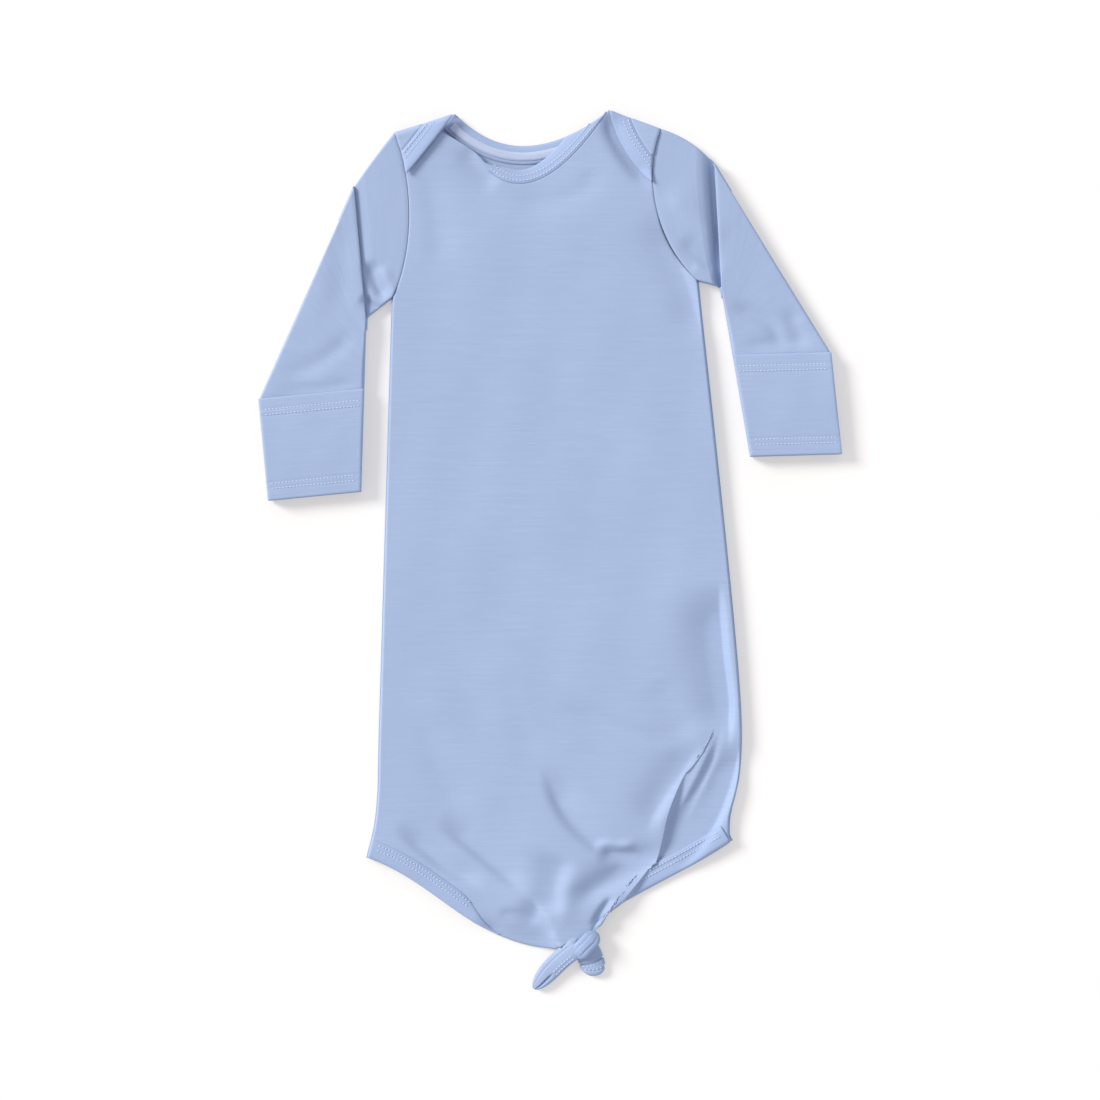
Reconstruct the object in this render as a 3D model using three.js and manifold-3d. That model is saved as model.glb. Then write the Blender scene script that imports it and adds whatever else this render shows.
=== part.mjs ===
// A baby's knotted sleeping gown, laid flat on its back with the neck towards +Y and the front up.
// Left and right are the wearer's: the wearer's left side lies towards +X.
// The floor is z = 0. The back layer lies on it, the front layer is held above it by the seams,
// and the sleeves are flat tubes at the same height as the body.

import * as THREE from 'three';
import { mergeVertices } from 'three/addons/utils/BufferGeometryUtils.js';
import Module from 'manifold-3d';

const wasm = await Module();
wasm.setup();

// ---------------------------------------------------------------- sizes, in millimetres and degrees

// Cloth, thread and clearances.
const FABRIC = 0.8; // one layer of jersey
const LOFT = 8; // air between the front and back layers
const GAP = 0.3; // clearance between pieces that touch on the real gown
const THREAD = 0.4; // height of a line of cover stitching
const STITCH_WIDTH = 4; // the two rows of a cover stitch, side to side
const STITCH_INSET = 2; // seam line to the nearer row

// Body.
const CHEST_WIDTH = 211; // armpit to armpit
const BODY_LENGTH = 383; // chest line to the line between the hem corners
const HEM_WIDTH = 252; // hem corner to hem corner
const HEM_BAND = 13;
const KNOT_DROP = 68; // hem corner line to the middle of the knot
const SEAM_ALLOWANCE = 6;

// Neck.
const NECK_WIDTH = 106; // shoulder tip to shoulder tip
const NECK_RISE = 123; // chest line to the line between the shoulder tips
const FRONT_NECK_DEPTH = 50;
const FRONT_NECK_LEAN = [24, 44]; // how far the curve runs inwards from the right and left tips
const BACK_NECK_DEPTH = 24;
const BACK_NECK_LEAN = [22, 40];
const NECK_BAND = 13;
const TAPE_DROP = 3.4; // top edge of the neck band to the tape that covers its seam
const TAPE_WIDTH = 7;

// Sleeves and the mitten flaps folded back over their ends.
const CUFF_WIDTH = 63;
const MITTEN_LENGTH = 71;
const MITTEN_LAYERS = 2;
const MITTEN_STITCH_EDGE = 8; // stitching to the nearest end of the flap
const ARMHOLE_SEAM_WIDTH = 5;
const FOLD_CLEARANCE = 0.6; // between a folded sleeve and the front it lies on

// Knot.
const KNOT_RADII = [12.5, 10.5, 8]; // half sizes of the knot along X, Y and Z
const WRAP_THICKNESS = 1.4; // the turn of cloth across the knot
const WRAP_WIDTH = 9;
const WRAP_ANGLE = 35; // direction in which the turn crosses the knot, from +X
const TAIL_THICKNESS = 4.5;
const TAIL_CLEARANCE = 0.8; // knot to the root of a tail

// How the gown happens to lie: shifts along X, and tilts up towards +X.
const CHEST_TILT = 3.2;
const HEM_TILT = 2.7;
const NECK_TILT = 1.4;
const NECK_SHIFT = -9;
const HEM_SHIFT = 3;
const KNOT_SHIFT = 17.6;

// Each side of the gown. Pairs are [outwards from the middle line, up towards the neck].
const SIDES = [
  {
    name: 'right',
    out: -1,
    shoulderLength: 44, // shoulder tip to armhole
    shoulderSlope: 17.3,
    armholeTopPull: [-14, -34], // bends the armhole seam near the shoulder
    armholeFootPull: [-15, 30], // and near the armpit
    lapReach: 0.27, // share of the armhole that the shoulder lap covers
    lapBow: 0.5,
    hip: [8.3, 0.7205], // widest place below: out from the armpit, and the share of the way to the corner
    nip: [10.6, 0.9085], // narrowest place above the hem corner, in the same terms
    hemStartPull: [-48, -16],
    hemEndPull: [58, 2.4],
    knotEntry: [12.4, -3.5],
    capBow: 0.5, // bulge of the sleeve's outer edge above the pleat
    underarm: [17.9, -13.8], // armpit to the lower end of the sleeve's pleat
    pleatLength: 91.5,
    pleatLean: 5.2, // the pleat's top leans outwards
    innerLength: 119.4, // pleat to cuff along the underarm fold
    innerSwing: 1.7, // the sleeve swings outwards
    cuffTilt: -5.6, // the cuff's outer end is lower
    mittenTopWidth: 71.4,
  },
  {
    name: 'left',
    out: 1,
    shoulderLength: 38,
    shoulderSlope: 20.1,
    armholeTopPull: [-12, -26.4],
    armholeFootPull: [-32.6, 29],
    lapReach: 0.38,
    lapBow: 5,
    hip: [29, 0.752],
    nip: [21.6, 0.9662],
    hemStartPull: [-34, -25],
    hemEndPull: [-2.4, 15.5],
    knotEntry: [11.7, 3.4],
    capBow: 3.2,
    underarm: [15.8, -4.2],
    pleatLength: 85.7,
    pleatLean: -3.2,
    innerLength: 118.3,
    innerSwing: 9.8,
    cuffTilt: 1.6,
    mittenTopWidth: 65,
  },
];

// Tails of the knot: direction from the knot, reach from its middle, and widths.
const TAILS = [
  { name: 'long', angle: 230, reach: 40.5, rootWidth: 12, fullWidth: 14.5, tipWidth: 7 },
  { name: 'short', angle: 321, reach: 26, rootWidth: 12, fullWidth: 16, tipWidth: 13 },
];

// Heights that follow from the layers.
const BODY_TOP = 2 * FABRIC + LOFT;
const FRONT_BOTTOM = BODY_TOP - FABRIC;
const LAP_BOTTOM = BODY_TOP + GAP;
const LAP_TOP = LAP_BOTTOM + FABRIC;
const MITTEN_TOP = LAP_BOTTOM + MITTEN_LAYERS * FABRIC;
const SLEEVE_TOP = MITTEN_TOP + GAP + THREAD;

// Heights of the hinges. A folded sleeve turns over onto the front, and a mitten flap over the sleeve's end.
const SLEEVE_FOLD_HEIGHT = (BODY_TOP + SLEEVE_TOP + FOLD_CLEARANCE) / 2;
const MITTEN_FLIP_HEIGHT = (BODY_TOP + LAP_BOTTOM) / 2;

// Curve steps, and a length that reaches past any edge that a cut has to clear.
const STEPS = 10;
const PAST = 30;
const FAR = 100;

// ---------------------------------------------------------------- materials

const cloth = { color: 0xadbcde, roughness: 0.9, metalness: 0 };
const band = { color: 0xa9b9dc, roughness: 0.88, metalness: 0 };
const thread = { color: 0xbccaea, roughness: 0.75, metalness: 0 };
const tapeCloth = { color: 0xb4c1e1, roughness: 0.8, metalness: 0 };

// ---------------------------------------------------------------- plane geometry

const radians = THREE.MathUtils.degToRad;
const at = (x, y) => new THREE.Vector2(x, y);
const move = (point, dx, dy) => at(point.x + dx, point.y + dy);
const towards = (angle, length = 1) =>
  at(Math.cos(radians(angle)) * length, Math.sin(radians(angle)) * length);
const unit = (a, b) => b.clone().sub(a).normalize();

// A cubic curve between two points, bent by a pull at each end.
function bend(a, pullA, b, pullB) {
  return new THREE.CubicBezierCurve(a, a.clone().add(pullA), b.clone().add(pullB), b);
}

// A shallow arc between two points that bulges to the left by a given rise.
function bow(a, b, rise) {
  const along = unit(a, b);
  const middle = a.clone().lerp(b, 0.5);
  const peak = move(middle, -along.y * rise * 2, along.x * rise * 2);
  return new THREE.QuadraticBezierCurve(a, peak, b).getPoints(STEPS / 2);
}

// Moves a path sideways: positive distances go to its left.
function beside(path, distance) {
  return path.map((point, i) => {
    const before = path[Math.max(i - 1, 0)];
    const after = path[Math.min(i + 1, path.length - 1)];
    const along = unit(before, after);
    const arriving = i > 0 ? unit(before, point) : along;
    const stretch = 1 / Math.max(along.dot(arriving), 0.5);
    return move(point, -along.y * distance * stretch, along.x * distance * stretch);
  });
}

// Lengthens a path straight on past its ends.
function lengthen(path, before, after) {
  const first = path[0];
  const last = path[path.length - 1];
  const start = first.clone().addScaledVector(unit(path[1], first), before);
  const end = last.clone().addScaledVector(unit(path[path.length - 2], last), after);
  return [...(before ? [start] : []), ...path, ...(after ? [end] : [])];
}

// The closed outline of a strip that follows a path, between two distances to its left.
function strip(path, near, far) {
  return [...beside(path, near), ...beside(path, far).reverse()];
}

// ---------------------------------------------------------------- solids

function solidFrom(geometry) {
  geometry.deleteAttribute('normal');
  geometry.deleteAttribute('uv');
  const merged = mergeVertices(geometry, 1e-4);
  return new wasm.Manifold(
    new wasm.Mesh({
      numProp: 3,
      vertProperties: new Float32Array(merged.getAttribute('position').array),
      triVerts: new Uint32Array(merged.getIndex().array),
    }),
  );
}

function plate(outline, low, high) {
  const geometry = new THREE.ExtrudeGeometry(new THREE.Shape(outline), {
    depth: high - low,
    bevelEnabled: false,
    curveSegments: STEPS,
  });
  geometry.translate(0, 0, low);
  return solidFrom(geometry);
}

function ellipsoid(radii, centre) {
  const geometry = new THREE.SphereGeometry(1, 20, 12);
  geometry.rotateX(Math.PI / 2);
  geometry.scale(...radii);
  geometry.translate(...centre);
  return solidFrom(geometry);
}

const group = new THREE.Group();

// Hinge lines: a point on each, and an axis about which a positive turn lifts the piece
// that lies in the given direction.
const hinges = {};

function addHinge(name, point, height, direction) {
  hinges[name] = {
    point: new THREE.Vector3(point.x, point.y, height),
    axis: new THREE.Vector3(direction.y, -direction.x, 0),
  };
}

function addPart(name, solid, finish) {
  const { vertProperties, triVerts } = solid.getMesh();
  const geometry = new THREE.BufferGeometry();
  geometry.setAttribute('position', new THREE.BufferAttribute(new Float32Array(vertProperties), 3));
  geometry.setIndex(new THREE.BufferAttribute(new Uint32Array(triVerts), 1));
  geometry.computeVertexNormals();
  const mesh = new THREE.Mesh(geometry, new THREE.MeshStandardMaterial(finish));
  mesh.name = name;
  group.add(mesh);
}

// ---------------------------------------------------------------- landmarks of each side

const hemMiddle = at(HEM_SHIFT, -BODY_LENGTH);
const knot = at(hemMiddle.x + KNOT_SHIFT, hemMiddle.y - KNOT_DROP);
const neckMiddle = at(NECK_SHIFT, NECK_RISE);

function landmarks(side) {
  const { out } = side;
  const outwards = ([away, up]) => at(out * away, up);
  const armpit = towards(CHEST_TILT, (out * CHEST_WIDTH) / 2);
  const tip = neckMiddle.clone().add(towards(NECK_TILT, (out * NECK_WIDTH) / 2));
  const slope = radians(side.shoulderSlope);
  const shoulder = move(
    tip,
    out * side.shoulderLength * Math.cos(slope),
    -side.shoulderLength * Math.sin(slope),
  );
  const corner = hemMiddle.clone().add(towards(HEM_TILT, (out * HEM_WIDTH) / 2));
  const armhole = bend(shoulder, outwards(side.armholeTopPull), armpit, outwards(side.armholeFootPull));
  const sideDrop = corner.y - armpit.y;
  const besideBody = ([away, share]) => move(armpit, out * away, share * sideDrop);
  const sideCurve = new THREE.SplineCurve([armpit, besideBody(side.hip), besideBody(side.nip), corner]);
  const hemEnd = knot.clone().add(outwards(side.knotEntry));
  const hem = bend(corner, outwards(side.hemStartPull), hemEnd, outwards(side.hemEndPull));
  const lapFoot = armhole.getPoint(side.lapReach);
  const pleatFoot = armpit.clone().add(outwards(side.underarm));
  const lean = radians(side.pleatLean);
  const pleatTop = move(
    pleatFoot,
    out * side.pleatLength * Math.sin(lean),
    side.pleatLength * Math.cos(lean),
  );
  const swing = radians(side.innerSwing);
  const downSleeve = at(out * Math.sin(swing), -Math.cos(swing));
  const acrossCuff = at(out * Math.cos(radians(side.cuffTilt)), Math.sin(radians(side.cuffTilt)));
  const cuffInner = pleatFoot.clone().addScaledVector(downSleeve, side.innerLength);
  const cuffOuter = cuffInner.clone().addScaledVector(acrossCuff, CUFF_WIDTH);
  const mittenInner = cuffInner.clone().addScaledVector(downSleeve, -MITTEN_LENGTH);
  const mittenOuter = mittenInner.clone().addScaledVector(acrossCuff, side.mittenTopWidth);
  return {
    ...side,
    armpit,
    tip,
    shoulder,
    corner,
    armholePath: armhole.getPoints(STEPS),
    sidePath: sideCurve.getPoints(STEPS * 2),
    hemPath: hem.getPoints(STEPS),
    lapPath: bow(tip, lapFoot, -out * side.lapBow),
    capPath: bow(shoulder, pleatTop, out * side.capBow),
    lapArmholePath: armhole.getPoints(STEPS * 4).slice(0, Math.round(side.lapReach * STEPS * 4) + 1),
    pleatFoot,
    pleatTop,
    cuffInner,
    cuffOuter,
    mittenInner,
    mittenOuter,
  };
}

const [right, left] = SIDES.map(landmarks);
const bothSides = [right, left];

// Neck curves run from the right shoulder tip to the left one.
// Two pulls of 4/3 of the depth make a curve that reaches that depth.
function neckCurve(depth, leanRight, leanLeft) {
  const drop = (4 / 3) * depth;
  return bend(right.tip, at(leanRight, -drop), left.tip, at(-leanLeft, -drop)).getPoints(STEPS * 2);
}

const frontNeck = neckCurve(FRONT_NECK_DEPTH, ...FRONT_NECK_LEAN);
const backNeck = neckCurve(BACK_NECK_DEPTH, ...BACK_NECK_LEAN);

// ---------------------------------------------------------------- outlines shared by the body's pieces

// The whole body, with the neckline given as a path from the right shoulder tip to the left one.
function bodyOutline(neckPath) {
  const armholeEdge = (side) => beside(side.armholePath, side.out * (-GAP / 2));
  return [
    ...neckPath,
    ...armholeEdge(left).slice(0, -1),
    ...left.sidePath,
    ...left.hemPath.slice(1),
    ...[...right.hemPath].reverse(),
    ...[...right.sidePath].reverse().slice(1),
    ...armholeEdge(right).reverse().slice(1),
  ];
}

// Everything below the shoulder line, held in from it to leave room for the folded shoulder.
function underShoulders(inset) {
  const line = [right.shoulder, right.tip, left.tip, left.shoulder];
  const edge = beside(lengthen(line, FAR, FAR), -inset);
  const foot = knot.y - PAST;
  return [...edge, at(edge[edge.length - 1].x, foot), at(edge[0].x, foot)];
}

// The column that the knot and its turn stand in, which the body's layers stay out of.
const knotCentre = [knot.x, knot.y, KNOT_RADII[2]];
const grow = (amount) => KNOT_RADII.map((radius) => radius + amount);
const [columnX, columnY] = grow(WRAP_THICKNESS + 2 * GAP);
const columnOutline = new THREE.EllipseCurve(knot.x, knot.y, columnX, columnY).getPoints(2 * STEPS).slice(1);
const knotClearance = plate(columnOutline, -1, PAST);

// The strip of the hem band on one side, from the edge up to a given width.
function hemStrip(side, near, far) {
  return strip(lengthen(side.hemPath, PAST, 0), side.out * -near, side.out * -far);
}

// ---------------------------------------------------------------- shoulders of the back layer

// The lap: the part of the back layer that folds over the shoulder and lies on the front.
const lapOutline = (side) => [
  ...side.lapPath,
  ...[...side.lapArmholePath].reverse().slice(1),
];

const lapStrip = (side, near, far) =>
  strip(lengthen(side.lapPath, PAST, PAST), side.out * near, side.out * far);
const shoulderWall = (side, depth) => strip([side.shoulder, side.tip], 0, side.out * depth);

function neckBandAtBack(extra) {
  const bandOutline = strip(lengthen(backNeck, extra, extra), extra, -NECK_BAND - extra);
  const bottom = plate(bandOutline, -extra, FABRIC + extra);
  const shoulders = bothSides.map((side) => {
    const foldedCloth = plate(shoulderWall(side, FABRIC + extra), -extra, LAP_TOP)
      .add(plate(lapOutline(side), LAP_BOTTOM - extra, LAP_TOP + extra));
    return foldedCloth.intersect(plate(lapStrip(side, -extra, NECK_BAND + extra), -PAST, PAST));
  });
  return bottom.add(shoulders[0]).add(shoulders[1]);
}

function backPanel() {
  let panel = plate(bodyOutline(backNeck), 0, FABRIC);
  for (const side of bothSides) {
    panel = panel
      .add(plate(shoulderWall(side, FABRIC), 0, LAP_TOP))
      .add(plate(lapOutline(side), LAP_BOTTOM, LAP_TOP))
      .subtract(plate(lapStrip(side, -PAST, NECK_BAND + GAP), FABRIC, LAP_TOP + 1))
      .subtract(plate(hemStrip(side, -PAST, HEM_BAND + GAP), -1, FABRIC + 1));
  }
  return panel.subtract(neckBandAtBack(GAP)).subtract(knotClearance);
}

// Whatever lies within the body's outline, with the neckline of the back or of the front.
const backColumn = plate(bodyOutline(backNeck), -1, PAST);
const frontColumn = plate(bodyOutline(frontNeck), -1, PAST);

addPart('back_panel', backPanel().intersect(backColumn), cloth);
addPart('back_neck_band', neckBandAtBack(0).intersect(backColumn), band);

// The tape runs inside the back neck, over the seam between band and panel.
const tapePath = backNeck.slice(2, -2);
addPart(
  'back_neck_tape',
  plate(strip(tapePath, -TAPE_DROP, -TAPE_DROP - TAPE_WIDTH), FABRIC + GAP, FABRIC + GAP + THREAD),
  tapeCloth,
);

// ---------------------------------------------------------------- front layer

const frontLimit = plate(underShoulders(FABRIC + GAP), -1, PAST);

function frontPanel() {
  let panel = plate(bodyOutline(frontNeck), FRONT_BOTTOM, BODY_TOP);
  for (const side of bothSides) {
    panel = panel.subtract(plate(hemStrip(side, -PAST, HEM_BAND + GAP), 0, BODY_TOP + 1));
  }
  return panel.intersect(frontLimit).subtract(knotClearance);
}

addPart('front_panel', frontPanel(), cloth);

const frontBand = plate(strip(frontNeck, GAP, NECK_BAND), FRONT_BOTTOM, BODY_TOP);
addPart('front_neck_band', frontBand.intersect(frontLimit).intersect(backColumn), band);

const stitchHeights = [LAP_BOTTOM, LAP_BOTTOM + THREAD];
let frontNeckStitch = plate(
  strip(frontNeck, STITCH_INSET, STITCH_INSET + STITCH_WIDTH),
  ...stitchHeights,
).intersect(frontLimit);
for (const side of bothSides) {
  frontNeckStitch = frontNeckStitch.subtract(plate(lapStrip(side, -1, PAST), 0, PAST));
}
addPart('front_neck_stitching', frontNeckStitch, thread);

for (const side of bothSides) {
  const stitch = plate(
    lapStrip(side, NECK_BAND - STITCH_INSET - STITCH_WIDTH, NECK_BAND - STITCH_INSET),
    LAP_TOP + GAP,
    LAP_TOP + GAP + THREAD,
  );
  const inside = plate(lapOutline(side), 0, PAST).intersect(plate(underShoulders(1), 0, PAST));
  addPart(`${side.name}_lap_stitching`, stitch.intersect(inside), thread);
}

// ---------------------------------------------------------------- seams, hem bands and their stitching

for (const side of bothSides) {
  const seamPath = side.sidePath.slice(1, -1);
  addPart(
    `${side.name}_side_seam`,
    plate(strip(seamPath, 0, -side.out * SEAM_ALLOWANCE), FABRIC + GAP, FRONT_BOTTOM - GAP),
    cloth,
  );
}

const bandLayers = [
  ['front', FRONT_BOTTOM],
  ['back', 0],
];
for (const side of bothSides) {
  const otherBand = side === right ? hemStrip(left, -1, HEM_BAND + GAP) : null;
  for (const [layer, low] of bandLayers) {
    let hemBand = plate(hemStrip(side, 0, HEM_BAND), low, low + FABRIC).intersect(frontColumn);
    if (otherBand) hemBand = hemBand.subtract(plate(otherBand, -1, PAST));
    addPart(`${side.name}_${layer}_hem_band`, hemBand.subtract(knotClearance), band);
  }
  const rows = [HEM_BAND - STITCH_INSET - STITCH_WIDTH, HEM_BAND - STITCH_INSET];
  let stitch = plate(hemStrip(side, ...rows), ...stitchHeights).intersect(frontColumn);
  if (otherBand) stitch = stitch.subtract(plate(otherBand, -1, PAST));
  addPart(`${side.name}_hem_stitching`, stitch.subtract(knotClearance), thread);
}

// ---------------------------------------------------------------- sleeves

// A flat tube with its two long edges closed and both ends open.
function flatTube(outline, firstEdge, secondEdge) {
  const hollow = [
    ...lengthen(beside(firstEdge, -FABRIC), PAST, PAST),
    ...lengthen(beside(secondEdge, -FABRIC), PAST, PAST),
  ];
  return plate(outline, 0, BODY_TOP).subtract(plate(hollow, FABRIC, BODY_TOP - FABRIC));
}

// Edges are listed clockwise seen from above, so that the inside is on their right.
const clockwise = (side, path) => (side.out > 0 ? path : [...path].reverse());

for (const side of bothSides) {
  const { armpit, pleatTop, pleatFoot, cuffInner, cuffOuter, mittenInner, mittenOuter } = side;
  const pleatUp = unit(pleatFoot, pleatTop);
  const awayFromBody = at(side.out * pleatUp.y, -side.out * pleatUp.x);
  const shift = (point, distance) => point.clone().addScaledVector(awayFromBody, distance);

  // The cap: from the armhole seam to the pleat.
  const capEdge = beside(side.armholePath, side.out * (GAP / 2));
  const capInner = [shift(pleatFoot, -GAP / 2), shift(pleatTop, -GAP / 2)];
  const capOutline = [...capEdge, ...capInner, ...side.capPath.slice(1, -1).reverse()];
  const capTop = clockwise(side, side.capPath);
  const capFoot = clockwise(side, [pleatFoot, armpit]);
  addPart(`${side.name}_sleeve_cap`, flatTube(capOutline, capTop, capFoot), cloth);

  // The seam between cap and body: a flat ring inside both, open through the middle.
  const seamPath = side.armholePath.slice(1, -1);
  const ring = (trim, low, high) => {
    const start = seamPath[0].clone().addScaledVector(unit(seamPath[0], seamPath[1]), trim);
    const last = seamPath.length - 1;
    const end = seamPath[last].clone().addScaledVector(unit(seamPath[last], seamPath[last - 1]), trim);
    const reach = ARMHOLE_SEAM_WIDTH / 2 + (trim ? 1 : 0);
    return plate(strip([start, ...seamPath.slice(1, -1), end], -reach, reach), low, high);
  };
  const ringLow = FABRIC + GAP;
  const ringHigh = FRONT_BOTTOM - GAP;
  const seam = ring(0, ringLow, ringHigh).subtract(ring(FABRIC, ringLow + FABRIC, ringHigh - FABRIC));
  addPart(`${side.name}_armhole_seam`, seam, cloth);

  // The sleeve beyond the pleat.
  const sleeveRoot = [shift(pleatTop, GAP / 2), shift(pleatFoot, GAP / 2)];
  const sleeveOutline = [...sleeveRoot, cuffInner, cuffOuter, mittenOuter];
  const outerEdge = clockwise(side, [pleatTop, mittenOuter, cuffOuter]);
  const innerEdge = clockwise(side, [cuffInner, pleatFoot]);
  addPart(`${side.name}_sleeve`, flatTube(sleeveOutline, outerEdge, innerEdge), cloth);

  const pleatMiddle = pleatFoot.clone().lerp(pleatTop, 0.5);
  addHinge(`${side.name}_sleeve_fold`, pleatMiddle, SLEEVE_FOLD_HEIGHT, awayFromBody);

  // The mitten flap, folded back over the sleeve's end, with a line of stitching at each end.
  const flapOutline = [cuffInner, cuffOuter, mittenOuter, mittenInner];
  const flap = plate(flapOutline, LAP_BOTTOM, MITTEN_TOP);
  addPart(`${side.name}_mitten_flap`, flap, cloth);
  const ends = [
    ['cuff', [cuffInner, cuffOuter], side.out],
    ['opening', [mittenInner, mittenOuter], -side.out],
  ];
  const flapInside = plate(flapOutline, 0, PAST);
  for (const [end, edge, inwards] of ends) {
    const near = inwards * MITTEN_STITCH_EDGE;
    const far = inwards * (MITTEN_STITCH_EDGE + STITCH_WIDTH);
    const low = MITTEN_TOP + GAP;
    const stitch = plate(strip(lengthen(edge, PAST, PAST), near, far), low, low + THREAD);
    addPart(`${side.name}_mitten_${end}_stitching`, stitch.intersect(flapInside), thread);
  }
  const alongCuff = unit(cuffInner, cuffOuter);
  const upSleeve = at(-side.out * alongCuff.y, side.out * alongCuff.x);
  const cuffEnd = cuffInner.clone().lerp(cuffOuter, 0.5).addScaledVector(upSleeve, -GAP);
  addHinge(`${side.name}_mitten_flip`, cuffEnd, MITTEN_FLIP_HEIGHT, upSleeve);
}

// ---------------------------------------------------------------- knot

const core = ellipsoid(KNOT_RADII, knotCentre);
addPart('knot', core, cloth);

// The turn across the knot is an arch over it, a little way off the floor.
const wrapAlong = towards(WRAP_ANGLE, PAST);
const wrapSlab = plate(
  strip([knot.clone().sub(wrapAlong), knot.clone().add(wrapAlong)], -WRAP_WIDTH / 2, WRAP_WIDTH / 2),
  1,
  PAST,
);
const wrap = ellipsoid(grow(WRAP_THICKNESS + GAP), knotCentre)
  .subtract(ellipsoid(grow(GAP), knotCentre))
  .intersect(wrapSlab);
addPart('knot_wrap', wrap, band);

// A tail starts outside the knot and its turn, swells, and ends in a rounded tip.
for (const tail of TAILS) {
  const along = towards(tail.angle);
  const across = at(-along.y, along.x);
  const knotEdge = 1 / Math.hypot(along.x / KNOT_RADII[0], along.y / KNOT_RADII[1]);
  const root = knotEdge + WRAP_THICKNESS + GAP + TAIL_CLEARANCE;
  const place = (distance, width) =>
    knot.clone().addScaledVector(along, distance).addScaledVector(across, width / 2);
  const shape = (sign) =>
    new THREE.SplineCurve([
      place(root, sign * tail.rootWidth),
      place(root + (tail.reach - root) * 0.4, sign * tail.fullWidth),
      place(root + (tail.reach - root) * 0.9, sign * tail.tipWidth),
      place(tail.reach, 0),
    ]).getPoints(STEPS);
  const outline = [...shape(1), ...shape(-1).reverse().slice(1)];
  addPart(`${tail.name}_tail`, plate(outline, 0, TAIL_THICKNESS), cloth);
  addHinge(`${tail.name}_tail_lift`, place(root, 0), TAIL_THICKNESS, along);
}

// ---------------------------------------------------------------- origin

// The origin is under the middle of the gown's outline, on the floor.
const extent = new THREE.Box3().setFromObject(group);
const middle = extent.getCenter(new THREE.Vector3());
group.position.set(-middle.x, -middle.y, -extent.min.z);
group.updateMatrixWorld(true);
for (const { point } of Object.values(hinges)) point.applyMatrix4(group.matrixWorld);
group.userData.hinges = hinges;

export default group;
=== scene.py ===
# %% [markdown]
# # A baby's knotted sleeping gown, laid flat on its back
#
# The gown is thin jersey cloth, and what shows of it is the cloth's outline, its soft folds, its
# bindings and its stitching. Every cloth piece here is a numpy surface: a grid of points whose place
# is a formula of two parameters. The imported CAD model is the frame. Its pieces give the places and
# the joints, and each new piece stands for one or more of them.
#
# Lengths are in millimetres until a mesh is made. X is to the wearer's left, Y is towards the neck,
# and Z is up from the floor.

import bmesh
import bpy
import numpy as np
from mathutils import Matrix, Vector


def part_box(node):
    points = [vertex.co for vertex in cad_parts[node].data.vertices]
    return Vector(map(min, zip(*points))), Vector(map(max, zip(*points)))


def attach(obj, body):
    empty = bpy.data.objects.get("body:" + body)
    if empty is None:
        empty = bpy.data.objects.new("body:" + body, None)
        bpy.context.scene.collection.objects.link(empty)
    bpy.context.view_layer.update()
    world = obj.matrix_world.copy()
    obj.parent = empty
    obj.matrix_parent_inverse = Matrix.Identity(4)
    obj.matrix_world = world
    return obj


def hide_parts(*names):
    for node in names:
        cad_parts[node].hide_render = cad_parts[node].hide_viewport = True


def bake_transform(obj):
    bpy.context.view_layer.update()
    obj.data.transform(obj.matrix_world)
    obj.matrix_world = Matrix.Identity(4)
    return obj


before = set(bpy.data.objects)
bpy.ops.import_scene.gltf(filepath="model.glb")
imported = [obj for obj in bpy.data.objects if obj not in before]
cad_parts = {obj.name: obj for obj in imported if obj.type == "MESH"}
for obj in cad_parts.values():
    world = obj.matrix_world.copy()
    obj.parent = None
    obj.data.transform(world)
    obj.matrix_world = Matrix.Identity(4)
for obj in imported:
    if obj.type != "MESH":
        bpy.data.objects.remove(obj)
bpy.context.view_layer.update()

MM = 0.001

# %% [markdown]
# ## The drawing
#
# A gown is cut from flat shapes, so the work starts with its lines: shoulders, neck, armholes, sides
# and hem. They could be read off the CAD meshes, but those are triangles with no order to them. The
# same few sizes that drive the CAD part draw the lines again here, as smooth curves, and the knot's
# box in the frame says where the drawing lies.

# %% Sizes of the drawing
CHEST_WIDTH = 211.0
BODY_LENGTH = 383.0
HEM_WIDTH = 252.0
HEM_BAND = 13.0
KNOT_DROP = 68.0
NECK_WIDTH = 106.0
NECK_RISE = 123.0
FRONT_NECK_DEPTH = 50.0
FRONT_NECK_LEAN = (24.0, 44.0)
BACK_NECK_DEPTH = 23.2
BACK_NECK_LEAN = (30.0, 40.0)
NECK_BAND = 13.0
CUFF_WIDTH = 63.0
MITTEN_LENGTH = 71.0
CHEST_TILT, HEM_TILT, NECK_TILT = 3.2, 2.7, 1.4
NECK_SHIFT, HEM_SHIFT, KNOT_SHIFT = -9.0, 3.0, 17.6
HEM_SAG = 2.2
SIDES = {
    "right": dict(
        out=-1, shoulder_length=44.0, shoulder_slope=17.3,
        armhole_top=(-14, -34), armhole_foot=(-15, 30), lap_reach=0.27, lap_bow=0.5,
        hip=(8.3, 0.7205), nip=(10.6, 0.9085), hem_start=(-48, -16), hem_end=(58, 2.4),
        knot_entry=(12.4, -3.5), cap_bow=0.5, underarm=(17.9, -13.8), pleat_length=91.5,
        pleat_lean=5.2, cuff_width=64.2, inner_length=119.4, inner_swing=1.7, cuff_tilt=-5.6,
        mitten_top=73.0,
    ),
    "left": dict(
        out=1, shoulder_length=38.0, shoulder_slope=20.1,
        armhole_top=(-12, -26.4), armhole_foot=(-32.6, 29), lap_reach=0.38, lap_bow=5.0,
        hip=(29, 0.752), nip=(21.6, 0.9662), hem_start=(-34, -25), hem_end=(-2.4, 15.5),
        knot_entry=(12.3, 7.4), cap_bow=3.2, underarm=(15.8, -4.2), pleat_length=85.7,
        pleat_lean=-3.2, cuff_width=63.0, inner_length=118.3, inner_swing=9.8, cuff_tilt=1.6,
        mitten_top=67.6,
    ),
}

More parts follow.
